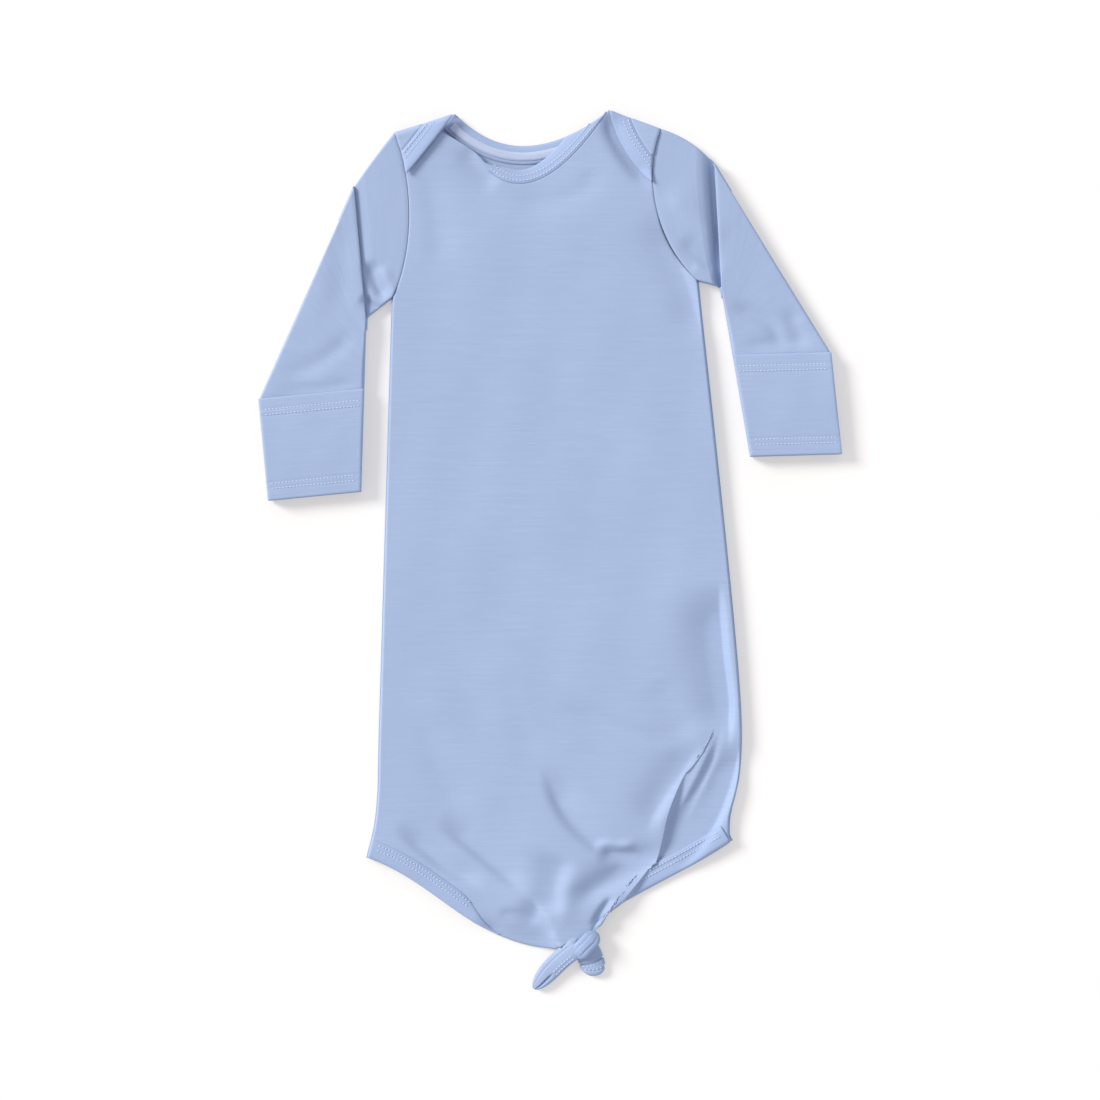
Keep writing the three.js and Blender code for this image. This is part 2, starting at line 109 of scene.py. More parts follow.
# %% Curves and paths
def polar(angle, length):
    """A vector of a given length, at an angle in degrees from +X."""
    return length * np.array([np.cos(np.radians(angle)), np.sin(np.radians(angle))])


def bend(a, pull_a, b, pull_b, count=61):
    """Cubic curve from a to b: the Bernstein sum of a, a + pull_a, b + pull_b and b."""
    t = np.linspace(0, 1, count)[:, None]
    first, last = a + np.array(pull_a, float), b + np.array(pull_b, float)
    return (1 - t) ** 3 * a + 3 * (1 - t) ** 2 * t * first + 3 * (1 - t) * t**2 * last + t**3 * b


def through(points, count=61):
    """Catmull-Rom curve: between two points a cubic whose slopes are half the step to each neighbour."""
    points = np.array(points, float)
    padded = np.vstack([points[:1], points, points[-1:]])
    at = np.linspace(0, len(points) - 1, count)
    i = np.minimum(at.astype(int), len(points) - 2)
    t = (at - i)[:, None]
    p0, p1, p2, p3 = (padded[i + k] for k in range(4))
    v0, v1 = (p2 - p0) / 2, (p3 - p1) / 2
    return (2 * p1 - 2 * p2 + v0 + v1) * t**3 + (-3 * p1 + 3 * p2 - 2 * v0 - v1) * t**2 + v0 * t + p1


def bow(a, b, rise, count=31):
    """Quadratic arc from a to b that bulges by rise to its left."""
    along = (b - a) / np.linalg.norm(b - a)
    peak = (a + b) / 2 + 2 * rise * np.array([-along[1], along[0]])
    t = np.linspace(0, 1, count)[:, None]
    return (1 - t) ** 2 * a + 2 * t * (1 - t) * peak + t**2 * b


def travelled(path):
    """Distance along a path up to each of its points."""
    return np.concatenate([[0], np.cumsum(np.linalg.norm(np.diff(path, axis=0), axis=1))])


def at_share(path, share):
    """Points of a path at shares of its length, by linear interpolation."""
    along = travelled(path) / travelled(path)[-1]
    return np.stack([np.interp(share, along, path[:, k]) for k in range(path.shape[1])], -1)


def leftwards(path):
    """Unit normals to the left of a path, from central differences."""
    step = np.gradient(path, axis=0)
    step /= np.maximum(np.linalg.norm(step, axis=1, keepdims=True), 1e-9)
    return np.stack([-step[:, 1], step[:, 0]], -1)


def nearest(xy, path):
    """For each point: distance to a path, share of the path's length there, and +1 on its left."""
    start, step = path[:-1], np.diff(path, axis=0)
    square = np.maximum((step**2).sum(1), 1e-12)
    gap = xy[:, None, :] - start[None]
    t = np.clip((gap * step[None]).sum(2) / square, 0, 1)
    off = gap - t[..., None] * step[None]
    far = (off**2).sum(2)
    best = far.argmin(1)
    row = np.arange(len(xy))
    side = step[best, 0] * off[row, best, 1] - step[best, 1] * off[row, best, 0]
    along = travelled(path)
    share = (along[best] + t[row, best] * np.sqrt(square[best])) / along[-1]
    return np.sqrt(far[row, best]), share, np.where(side >= 0, 1.0, -1.0)


def ease(t):
    """Smooth step: t squared times three minus two t, held between 0 and 1."""
    t = np.clip(t, 0, 1)
    return t * t * (3 - 2 * t)


# %% Draw the lines
def centre_of(node):
    """Middle of a CAD piece's box, seen from above, in millimetres."""
    low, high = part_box(node)
    return np.array([(low[k] + high[k]) / 2 / MM for k in range(2)])


HEM_MIDDLE = np.array([HEM_SHIFT, -BODY_LENGTH])
KNOT_LOCAL = HEM_MIDDLE + (KNOT_SHIFT, -KNOT_DROP)
ORIGIN = centre_of("knot") - KNOT_LOCAL
HEM_MIDDLE = HEM_MIDDLE + ORIGIN
KNOT = KNOT_LOCAL + ORIGIN
NECK_MIDDLE = np.array([NECK_SHIFT, NECK_RISE]) + ORIGIN


def draw_side(size):
    """The lines of one side, each found from the sizes as on the CAD part."""
    out = size["out"]
    outwards = lambda pair: np.array([out * pair[0], pair[1]], float)
    armpit = ORIGIN + polar(CHEST_TILT, out * CHEST_WIDTH / 2)
    tip = NECK_MIDDLE + polar(NECK_TILT, out * NECK_WIDTH / 2)
    slope = np.radians(size["shoulder_slope"])
    shoulder = tip + size["shoulder_length"] * np.array([out * np.cos(slope), -np.sin(slope)])
    corner = HEM_MIDDLE + polar(HEM_TILT, out * HEM_WIDTH / 2) - (0, HEM_SAG)
    drop = corner[1] - armpit[1]
    beside = lambda pair: armpit + np.array([out * pair[0], pair[1] * drop])
    armhole = bend(shoulder, outwards(size["armhole_top"]), armpit, outwards(size["armhole_foot"]))
    lap_foot = armhole[round(size["lap_reach"] * (len(armhole) - 1))]
    pleat_foot = armpit + outwards(size["underarm"])
    lean = np.radians(size["pleat_lean"])
    pleat_top = pleat_foot + size["pleat_length"] * np.array([out * np.sin(lean), np.cos(lean)])
    swing, tilt = np.radians(size["inner_swing"]), np.radians(size["cuff_tilt"])
    down = np.array([out * np.sin(swing), -np.cos(swing)])
    across = np.array([out * np.cos(tilt), np.sin(tilt)])
    cuff_inner = pleat_foot + size["inner_length"] * down
    mitten_inner = cuff_inner - MITTEN_LENGTH * down
    return dict(
        size, armpit=armpit, tip=tip, shoulder=shoulder, corner=corner, armhole=armhole,
        side=through([armpit, beside(size["hip"]), beside(size["nip"]), corner], 81),
        hem=bend(corner, outwards(size["hem_start"]), KNOT + outwards(size["knot_entry"]),
                 outwards(size["hem_end"])),
        lap=bow(tip, lap_foot, -out * size["lap_bow"]), lap_foot=lap_foot,
        cap=bow(shoulder, pleat_top, out * size["cap_bow"]),
        pleat_foot=pleat_foot, pleat_top=pleat_top, cuff_inner=cuff_inner,
        cuff_outer=cuff_inner + size["cuff_width"] * across, mitten_inner=mitten_inner,
        mitten_outer=mitten_inner + size["mitten_top"] * across, across=across, down=down,
    )


RIGHT, LEFT = SIDES_BOTH = tuple(draw_side(SIDES[name]) for name in ("right", "left"))
NAMED_SIDES = (("right", RIGHT), ("left", LEFT))


def neck_curve(depth, lean):
    """Neck line from the right shoulder tip to the left one: pulls of 4/3 of its depth reach that depth."""
    drop = 4 / 3 * depth
    return bend(RIGHT["tip"], (lean[0], -drop), LEFT["tip"], (-lean[1], -drop), 121)


FRONT_NECK = neck_curve(FRONT_NECK_DEPTH, FRONT_NECK_LEAN)
BACK_NECK = neck_curve(BACK_NECK_DEPTH, BACK_NECK_LEAN)
print("shoulder tips", RIGHT["tip"].round(1), LEFT["tip"].round(1), "knot", KNOT.round(1))

# %% [markdown]
# ## Making meshes
#
# A grid of points becomes a mesh of four-sided faces. Cloth has a wrong side too, so a sheet gets
# its thickness from a Solidify modifier, which keeps the cloth's own face where the formula puts it.
# Each piece also carries a map called grain, in metres across and along the knit, so that the
# pattern of the jersey follows the cloth and not the room.

# %% Mesh helpers
JERSEY = 0.8


def faces_of(rows, columns, round_columns=False):
    """Four-sided faces of a grid, as whole arrays. With round_columns the last column joins the first."""
    i = np.arange(rows - 1)[:, None]
    j = np.arange(columns if round_columns else columns - 1)[None]
    k = (j + 1) % columns
    return np.stack([i * columns + j, i * columns + k, (i + 1) * columns + k, (i + 1) * columns + j], -1)


def volume_of(points, faces):
    """Six times the volume inside quads, signed: the sum of the corner products of their triangles."""
    a, b, c, d = (points[faces[:, k]] for k in range(4))
    return (np.einsum("ij,ij->", a, np.cross(b, c)) + np.einsum("ij,ij->", a, np.cross(c, d)))


def place(name, points, faces, grain, closed=False):
    """A smooth mesh object at the origin from millimetre points. Faces turn up, or out if it is closed."""
    points = points.reshape(-1, 3)
    faces = faces.reshape(-1, 4)
    a, b, d = (points[faces[:, k]] for k in (0, 1, 3))
    upward = np.cross(b - a, d - a)[:, 2].sum()
    if (volume_of(points, faces) if closed else upward) < 0:
        faces = faces[:, ::-1]
    mesh = bpy.data.meshes.new(name)
    mesh.from_pydata((points * MM).tolist(), [], faces.tolist())
    layer = mesh.uv_layers.new(name="grain")
    corner = np.empty(len(mesh.loops), np.int32)
    mesh.loops.foreach_get("vertex_index", corner)
    layer.data.foreach_set("uv", (grain.reshape(-1, 2) * MM)[corner].astype(np.float32).ravel())
    mesh.shade_smooth()
    piece = bpy.data.objects.new(name, mesh)
    bpy.context.scene.collection.objects.link(piece)
    return piece


def thicken(piece, thickness):
    """Gives a sheet its thickness on its wrong side, rim included."""
    wall = piece.modifiers.new("thickness", "SOLIDIFY")
    wall.thickness = thickness * MM
    wall.offset = -1
    wall.use_rim = True
    return piece


def merged(piece, gap=0.02):
    """Joins points that lie together, as at a pole or a seam of the grid."""
    work = bmesh.new()
    work.from_mesh(piece.data)
    bmesh.ops.remove_doubles(work, verts=work.verts, dist=gap * MM)
    bmesh.ops.dissolve_degenerate(work, edges=work.edges, dist=1e-7)
    work.to_mesh(piece.data)
    work.free()
    piece.data.shade_smooth()
    return piece


def dress(piece, material, nodes, body=None):
    """Gives a piece its cloth, the CAD pieces it stands for and the body it rides on."""
    piece.data.materials.append(material)
    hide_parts(*nodes)
    if body:
        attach(piece, body)
    return piece


def end_spaced(count, edge, fine, total):
    """Shares from 0 to 1 that crowd towards both ends by a cosine, so that a rounded edge is smooth."""
    turn = 1 - np.cos(np.linspace(0, np.pi / 2, fine, endpoint=False))
    near = turn * edge / total
    first = near[-1] + 0.25 * edge / total
    return np.concatenate([near, np.linspace(first, 1 - first, count), 1 - near[::-1]])


# %% [markdown]
# ## Jersey, thread and bindings
#
# The cloth is a fine bamboo jersey: soft, a little lustrous, with short streaks along the rows of
# stitches where the yarn runs thicker. A picture of cloth could be wrapped over it, but it would blur
# close up and repeat. Instead one node group makes the knit from the grain map. It gives a colour with
# slubs and a slow unevenness, and a height with the rows of small V-shaped stitches.

# %% Knit node group
WALE = 0.00062
COURSE = 0.00045
FULL_TURN = 6.2832


def maths(tree, operation, first, second=None):
    """A Math node on sockets or plain numbers."""
    node = tree.nodes.new("ShaderNodeMath")
    node.operation = operation
    for socket, value in zip(node.inputs, (first, second)):
        if value is None:
            continue
        if isinstance(value, (int, float)):
            socket.default_value = value
        else:
            tree.links.new(value, socket)
    return node.outputs[0]


def streaks(tree, grain, across, along, detail):
    """Noise stretched along the knit's rows: features of the given lengths in metres."""
    mapping = tree.nodes.new("ShaderNodeMapping")
    mapping.inputs["Scale"].default_value = (1 / across, 1 / along, 1)
    tree.links.new(grain, mapping.inputs["Vector"])
    noise = tree.nodes.new("ShaderNodeTexNoise")
    noise.inputs["Scale"].default_value = 1.0
    noise.inputs["Detail"].default_value = detail
    tree.links.new(mapping.outputs["Vector"], noise.inputs["Vector"])
    return noise.outputs["Fac"]


def build_knit_group():
    """Colour and height of the jersey. Slubs are stretched noise, and stitches are V-shaped waves."""
    tree = bpy.data.node_groups.new("jersey knit", "ShaderNodeTree")
    for name, kind, way in (
        ("Cloth", "NodeSocketColor", "INPUT"), ("Slub", "NodeSocketFloat", "INPUT"),
        ("Color", "NodeSocketColor", "OUTPUT"), ("Height", "NodeSocketFloat", "OUTPUT"),
        ("Roughness", "NodeSocketFloat", "OUTPUT"),
    ):
        tree.interface.new_socket(name=name, in_out=way, socket_type=kind)
    given = tree.nodes.new("NodeGroupInput")
    result = tree.nodes.new("NodeGroupOutput")
    grain = tree.nodes.new("ShaderNodeUVMap")
    grain.uv_map = "grain"
    fine, long, slow = (
        maths(tree, "MULTIPLY",
              maths(tree, "SUBTRACT", streaks(tree, grain.outputs["UV"], *lengths), 0.5), part)
        for lengths, part in (
            ((0.016, 0.0011, 1.5), 0.55), ((0.050, 0.0019, 2.0), 0.75), ((0.060, 0.085, 2.0), 0.10)
        )
    )
    slub = maths(tree, "ADD", fine, long)
    tone = maths(tree, "ADD", maths(tree, "MULTIPLY", slub, given.outputs["Slub"]), slow)
    bright = tree.nodes.new("ShaderNodeVectorMath")
    bright.operation = "SCALE"
    tree.links.new(given.outputs["Cloth"], bright.inputs[0])
    tree.links.new(maths(tree, "ADD", tone, 1.0), bright.inputs["Scale"])
    tree.links.new(bright.outputs[0], result.inputs["Color"])
    split = tree.nodes.new("ShaderNodeSeparateXYZ")
    tree.links.new(grain.outputs["UV"], split.inputs[0])
    wale = maths(tree, "FRACT", maths(tree, "DIVIDE", split.outputs["X"], WALE))
    arm = maths(tree, "ABSOLUTE", maths(tree, "SUBTRACT", wale, 0.5))
    course = maths(tree, "DIVIDE", split.outputs["Y"], COURSE)
    turns = maths(tree, "ADD", course, maths(tree, "MULTIPLY", arm, 1.2))
    loop = maths(tree, "MULTIPLY", maths(tree, "COSINE", maths(tree, "MULTIPLY", turns, FULL_TURN)), 0.3)
    valley = maths(tree, "COSINE", maths(tree, "MULTIPLY", arm, 2 * FULL_TURN))
    stitch = maths(tree, "SUBTRACT", loop, maths(tree, "MULTIPLY", valley, 0.45))
    height = maths(tree, "ADD", stitch, maths(tree, "MULTIPLY", slub, 2.2))
    tree.links.new(height, result.inputs["Height"])
    tree.links.new(maths(tree, "ADD", maths(tree, "MULTIPLY", slub, -0.25), 0.82), result.inputs["Roughness"])
    return tree


KNIT = build_knit_group()


def start_material(name, inputs):
    """A new material whose shader has these plain values on its own sockets."""
    material = bpy.data.materials.new(name)
    material.use_nodes = True
    surface = material.node_tree.nodes["Principled BSDF"]
    for socket, value in inputs.items():
        surface.inputs[socket].default_value = value
    return material, material.node_tree, surface


def add_relief(tree, surface, height, strength, distance):
    """A bump from a height socket to the shader's normal."""
    relief = tree.nodes.new("ShaderNodeBump")
    relief.inputs["Strength"].default_value = strength
    relief.inputs["Distance"].default_value = distance
    tree.links.new(height, relief.inputs["Height"])
    tree.links.new(relief.outputs["Normal"], surface.inputs["Normal"])


def two_tones(tree, surface, kind, inputs, dark, light):
    """Colours the shader between two tones, by a texture node of that kind in Object coordinates."""
    coordinates = tree.nodes.new("ShaderNodeTexCoord")
    texture = tree.nodes.new(kind)
    for socket, value in inputs.items():
        texture.inputs[socket].default_value = value
    tree.links.new(coordinates.outputs["Object"], texture.inputs["Vector"])
    shade = tree.nodes.new("ShaderNodeValToRGB")
    shade.color_ramp.elements[0].color = dark
    shade.color_ramp.elements[1].color = light
    tree.links.new(texture.outputs["Fac"], shade.inputs["Fac"])
    tree.links.new(shade.outputs["Color"], surface.inputs["Base Color"])
    return texture.outputs["Fac"]


def knit_material(name, colour, slub, sheen, bump):
    """Jersey in one colour: the knit group drives colour, roughness and a shallow bump."""
    material, tree, surface = start_material(name, {
        "IOR": 1.42, "Specular IOR Level": 0.25, "Sheen Weight": sheen, "Sheen Roughness": 0.45,
        "Sheen Tint": (0.86, 0.91, 1.0, 1),
    })
    knit = tree.nodes.new("ShaderNodeGroup")
    knit.node_tree = KNIT
    knit.inputs["Cloth"].default_value = colour
    knit.inputs["Slub"].default_value = slub
    tree.links.new(knit.outputs["Color"], surface.inputs["Base Color"])
    tree.links.new(knit.outputs["Roughness"], surface.inputs["Roughness"])
    add_relief(tree, surface, knit.outputs["Height"], bump, 0.00012)
    return material


CLOTH = knit_material("periwinkle jersey", (0.345, 0.435, 0.632, 1), 0.15, 0.12, 0.45)
BAND = knit_material("binding jersey", (0.335, 0.428, 0.642, 1), 0.10, 0.12, 0.5)
TAPE = knit_material("neck seam thread", (0.50, 0.58, 0.78, 1), 0.20, 0.25, 0.9)


def thread_material():
    """Twisted sewing thread: a fine wave across the length, darker in the twist."""
    material, tree, surface = start_material("sewing thread", {
        "Sheen Weight": 0.25, "Specular IOR Level": 0.35, "Roughness": 0.6,
    })
    twist = two_tones(tree, surface, "ShaderNodeTexWave", {"Scale": 900.0, "Distortion": 1.5},
                      (0.42, 0.50, 0.70, 1), (0.56, 0.64, 0.83, 1))
    add_relief(tree, surface, twist, 0.5, 0.0001)
    return material


THREAD = thread_material()
print("materials:", CLOTH.name, BAND.name, TAPE.name, THREAD.name)

# %% [markdown]
# ## How the front lies
#
# The front is one piece of cloth over the back. It stands about a centimetre off the floor in the
# middle, rounds down to the side seams, and lies lower at the neck and hem. Towards the knot it
# gathers into folds. A cloth simulation would give folds of its own choosing, so the height is written
# down as a sum: a loft, rounded edges, and folds that each follow a line with one steep and one gentle
# side. Everything sewn to the front asks the same function where the cloth is.

# %% Fold lines
SIDE_TUCK = [(105.6, -137.7), (97.3, -148.7), (90.4, -157.7), (80.7, -181.1), (73.1, -212.9),
             (65.6, -221.8), (46.2, -245.3)]
# Each fold: its line, height, and widths on the left and on the right of the line as it is walked.
FOLDS = [
    ("hip valley", [(114, -20), (118, -70), (122, -106), (121, -138)], -6.6, 3, 21),
    ("hip ridge", [(114, -124), (105, -146), (94, -168), (83, -190)], 1.5, 3, 3),
    ("side valley", [(130, -128), (126, -150), (119, -172), (109, -192), (95, -210), (82, -222)],
     -7.4, 3.5, 18),
    ("inner valley", [(116, -120), (111, -142), (102, -162), (91, -184), (80, -206)], -2.0, 3, 7),
    ("long valley", [(-80, -186), (-68, -194), (-52, -207), (-34, -222), (-14, -238)], -3.4, 12, 4),
    ("corner valley", [(-108, -189), (-100, -196), (-87, -207), (-70, -220), (-44, -232)], -3.0, 8, 4),
    ("hem fall", [(-56, -258), (-32, -270), (-10, -275.5), (6, -276)], -4.6, 10, 10),
    ("hem smear", [(-38, -250), (-24, -251), (-6, -256)], -1.4, 4, 4),
    ("arc start", [(-34, -78), (-24, -118), (-10, -150)], -0.6, 9, 14),
    ("arc valley", [(-3, -146), (0, -162), (9, -181), (22, -196), (40, -208), (70, -215)],
     -3.6, 13, 4.2),
    ("arc wrinkle", [(28, -205), (38, -202.5), (48, -203.5), (60, -203)], 2.2, 3.0, 3.4),
    ("under wrinkle", [(30, -211), (48, -211), (68, -213)], -2.4, 4, 5),
    ("knot smear", [(8, -246), (22, -238), (40, -228), (60, -217), (88, -205)], -5.6, 10, 8),
    ("blob", [(10, -208), (4, -222), (1, -236), (4, -252)], -4.2, 8, 16),
    ("middle ridge", [(14, -222), (9, -234), (8, -246), (10, -262)], 0.8, 7, 5),
    ("entry line", [(-15, -240), (-6, -253), (3, -269)], -3.0, 1.4, 1.4),
    ("knot crease", [(43, -238), (35, -248), (28, -261)], -3.0, 3, 2.6),
    ("knot lip", [(50, -238), (42, -249), (33, -262)], 1.6, 3, 3),
    ("tuck slope", [(104, -128), (90, -151), (76, -172), (62, -196)], -3.6, 5, 14),
    ("waist hollow", [(70, -88), (84, -112), (95, -132)], -0.9, 12, 12),
    ("waist drag", [(2, -104), (30, -116), (60, -127), (98, -134)], -1.4, 8, 6),
    ("soft drag", [(-78, -40), (-52, -110), (-30, -156)], -0.8, 16, 16),
    ("left drag", [(-90, -110), (-78, -150), (-58, -184)], -0.7, 14, 10),
    ("chest drag right", [(-88, 268), (-80, 236), (-76, 190)], -1.2, 12, 9),
    ("collar drag", [(-62, 278), (-50, 262), (-36, 250)], -1.8, 6, 8),
    ("lap shade", [(38, 306), (42, 290), (50, 274), (60, 261), (74, 251)], -5.2, 7, 5.5),
    ("armpit shade left", [(72, 238), (80, 214), (90, 190), (98, 166), (103, 140)], -3.2, 5, 15),
    ("neck drag", [(-30, 243), (-8, 239), (20, 247), (38, 268)], -1.0, 7, 9),
]

# %% Height of the front
LOFT_TOP = 8.8
EDGE_ROUND, SHOULDER_ROUND, HEM_ROUND = 1.5, 4.2, 2.6
EDGE_INSET = 0.32
TUCK_DEPTH, TUCK_REACH = 5.8, 24
LIP_RISE, LIP_REACH = 0.8, 7
ENTRY_DEPTH, ENTRY_REACH = 5.6, 20
# Below this height folds grow shallower, and never sink further than this below it.
LOW_FOLD, LOW_ROOM = 4.2, 1.6
SHOULDER_LINES = [np.stack([side["shoulder"], side["tip"]]) for side in SIDES_BOTH]
HEM_LINE = np.vstack([RIGHT["hem"], LEFT["hem"][::-1]])
TUCK_PATH = through(SIDE_TUCK, 41)
FOLD_PATHS = [(through(line, 25), height, left, right) for _, line, height, left, right in FOLDS]
ENTRY_FOLD = through([(-17, -236), (-10, -247), (-3, -258), (4.5, -271.5)], 21)


def hill(distance, reach):
    """exp(-(distance / reach) squared): 1 on the line, fading to nothing beside it."""
    return np.exp(-((distance / reach) ** 2))


def crease(xy, path, height, left, right, ends=0.28):
    """height times a hill across the path, fading in over the first and last share of the path."""
    far, share, side = nearest(xy, path)
    width = np.where(side > 0, left, right)
    return height * ease(share / ends) * ease((1 - share) / ends) * hill(far, width)


def loft(xy):
    """Height of the cloth without folds or edges: lower at the neck and hem, higher at the knot."""
    to_hem, to_neck = nearest(xy, HEM_LINE)[0], nearest(xy, FRONT_NECK)[0]
    to_knot = np.linalg.norm(xy - KNOT - (-8, 26), axis=1)
    to_corner = np.linalg.norm(xy - LEFT["corner"], axis=1)
    height = LOFT_TOP - 2.0 * hill(to_hem, 32) - 1.6 * hill(to_neck, 22)
    return height + 4.6 * hill(to_knot, 40) + 1.2 * hill(to_corner, 48)


def rounded(distance, radius):
    """Quarter circle: 0 at the edge and 1 from one radius inwards."""
    t = np.clip(distance / radius, 0, 1)
    return np.sqrt(np.clip(1 - (1 - t) ** 2, 0, 1))


def ripple(xy):
    """A slow unevenness, from three crossing waves."""
    x, y = xy[:, 0], xy[:, 1]
    return (0.16 * np.sin(x / 13 + y / 41 + 1) + 0.14 * np.sin(y / 17 - x / 37)
            + 0.12 * np.sin(x / 7.5 - y / 29 + 2))


def front_height(xy):
    """Top of the front: loft, folds and the tuck, brought down along the sides, shoulders and hem."""
    height = loft(xy) + ripple(xy)
    for path, rise, left, right in FOLD_PATHS:
        height = height + crease(xy, path, rise, left, right)
    far, share, side = nearest(xy, TUCK_PATH)
    under = (1 - np.exp(-((far / 1.5) ** 1.3))) * hill(far, TUCK_REACH)
    lip = hill(far, LIP_REACH) * (1 - ease((share - 0.68) / 0.12))
    depth = TUCK_DEPTH * ease(share / 0.55)
    height = height + np.where(side > 0, -depth * under, LIP_RISE * ease(share / 0.35) * lip)
    far, share, side = nearest(xy, ENTRY_FOLD)
    step = ENTRY_DEPTH * (1 - np.exp(-far / 1.3)) * hill(far, ENTRY_REACH)
    height = height - ease(share / 0.5) * np.where(side < 0, step, 0)
    sunk = LOW_FOLD - LOW_ROOM * (1 - np.exp(-(LOW_FOLD - height) / LOW_ROOM))
    height = np.where(height < LOW_FOLD, sunk, height)
    for side in SIDES_BOTH:
        height = height * (0.5 + 0.5 * rounded(nearest(xy, side["side"])[0], EDGE_ROUND))
    for line in SHOULDER_LINES:
        height = height * (0.5 + 0.5 * rounded(nearest(xy, line)[0], SHOULDER_ROUND))
    edge = rounded(nearest(xy, HEM_LINE)[0] + 0.2, HEM_ROUND)
    near_knot = ease((np.linalg.norm(xy - KNOT, axis=1) - 8) / 14)
    height = height * (1 - near_knot * 0.42 * (1 - edge))
    for side in SIDES_BOTH:
        height = height - 0.5 * hill(nearest(xy, side["armhole"])[0], 0.7)
    return height


probe = np.array([[0.0, 0.0], [100.0, -150.0], [72.0, -214.0]])
print("front heights:", front_height(probe).round(2), "mm")


# %% [markdown]
# ## Front and back panels
#
# A panel has four sides of different shapes: two armhole-and-side curves, a neck and a hem. A patch
# between four curves fills it: straight rows between the side curves, plus the difference of the neck
# and of the hem from a straight line, fading inwards. The front is two such patches that share a
# column. That column runs down the tuck above the hem, so the sharp edge of the tuck follows the
# grid and stays crisp.

# %% Patch between four curves
def patch(left, right, top, foot, across, down):
    """Rows between left and right, plus how far top and foot stray from straight, fading inwards."""
    u, v = across[None, :, None], down[:, None, None]
    ruled = (1 - u) * left[:, None] + u * right[:, None]
    top_straight = (1 - u) * top[:1][None] + u * top[-1:][None]
    foot_straight = (1 - u) * foot[:1][None] + u * foot[-1:][None]
    fade_top = np.clip(1 - v / 0.55, 0, 1) ** 2
    fade_foot = np.clip((v - 0.25) / 0.75, 0, 1) ** 2
    return ruled + fade_top * (top[None] - top_straight) + fade_foot * (foot[None] - foot_straight)


def by_x(path, x):
    """Points of a path that runs steadily in x, at given x."""
    order = np.argsort(path[:, 0])
    return np.stack([x, np.interp(x, path[order, 0], path[order, 1])], -1)


def rows_down(side, shares):
    """Shares of a body edge: the first part runs down the armhole and the rest down the side."""
    armhole, flank = side["armhole"], side["side"]
    part = 0.22
    upper = at_share(armhole, np.clip(shares / part, 0, 1))
    lower = at_share(flank, np.clip((shares - part) / (1 - part), 0, 1))
    return np.where((shares < part)[:, None], upper, lower)


# Where the front's edge runs over the top of the knot, from the knot's middle.
OVER_KNOT = np.array([(-7.0, 1.0), (-1.0, 2.6), (5.0, 4.8), (9.5, 6.6)])


def body_grid(neck, spine, columns, rows, inset):
    """The body between its two edges as two patches that meet at the spine."""
    left_edge, right_edge = rows_down(RIGHT, rows), rows_down(LEFT, rows)
    left_edge[:, 0] += inset
    right_edge[:, 0] -= inset
    middle = at_share(spine, rows)
    top_left = np.vstack([RIGHT["shoulder"][None], neck])
    top_right = np.stack([LEFT["tip"], LEFT["shoulder"]])
    knot_line = np.vstack([RIGHT["hem"], KNOT + OVER_KNOT, LEFT["hem"][::-1]])
    grids = []
    for first, last, top, across in (
        (left_edge, middle, top_left, columns[0]),
        (middle, right_edge, top_right, columns[1]),
    ):
        top_points = by_x(top, first[0, 0] + across * (last[0, 0] - first[0, 0]))
        foot_points = by_x(knot_line, first[-1, 0] + across * (last[-1, 0] - first[-1, 0]))
        top_points[0], top_points[-1] = first[0], last[0]
        foot_points[0], foot_points[-1] = first[-1], last[-1]
        grids.append(patch(first, last, top_points, foot_points, across, rows))
    return np.concatenate([grids[0], grids[1][:, 1:]], axis=1)


def crowd(count, start_edge, end_edge):
    """Shares from 0 to 1 with extra columns close to each end that asks for them."""
    plain = np.linspace(0, 1, count)
    extra = [0.0012, 0.003, 0.006, 0.0095]
    added = (extra if start_edge else []) + ([1 - e for e in extra] if end_edge else [])
    return np.unique(np.concatenate([plain, added]))


def panel(name, flat, z, node):
    """A panel of jersey from its plan and its heights, as a finished piece of the gown."""
    piece = place(name, np.dstack([flat, z]), faces_of(*z.shape), flat)
    return dress(thicken(piece, JERSEY), CLOTH, [node], "gown")


# %% Front panel
# At the right the neck edge rolls under, so the line that shows runs lower, from under the lap.
NECK_ROLL = through([(-77, 289), (-64, 281.5), (-52, 273.5), (-45.5, 266.5)], 24)
rolled_neck = np.vstack([NECK_ROLL, FRONT_NECK[FRONT_NECK[:, 0] > -44]])
TUCK_FOOT = by_x(LEFT["hem"], np.array([41.0]))[0]
SPINE = np.vstack([
    through([LEFT["tip"], (52, 200), (66, 110), (84, -10), (101, -110), (105.6, -137.7)], 60)[:-1],
    TUCK_PATH,
    TUCK_FOOT[None],
])
ROWS = np.unique(np.concatenate([
    np.linspace(0, 0.60, 92), np.linspace(0.60, 1, 140), [0.002, 0.004, 0.9985],
]))
FRONT_COLUMNS = (
    np.unique(np.concatenate([crowd(112, True, True), 1 - np.array([0.013, 0.018])])),
    np.unique(np.concatenate([
        crowd(46, False, True), [0.004, 0.009, 0.015], 1 - np.array([0.02, 0.035, 0.055]),
    ])),
)
front_flat = body_grid(rolled_neck, SPINE, FRONT_COLUMNS, ROWS, 0.15)
# The shared column asks for its height a hair inside the tuck, so that all of it stands on the lip.
asked = front_flat.copy()
asked[:, len(FRONT_COLUMNS[0]) - 1, 0] -= 0.12
front_z = front_height(asked.reshape(-1, 2)).reshape(front_flat.shape[:2])
front = panel("front_panel_cloth", front_flat, front_z, "front_panel")

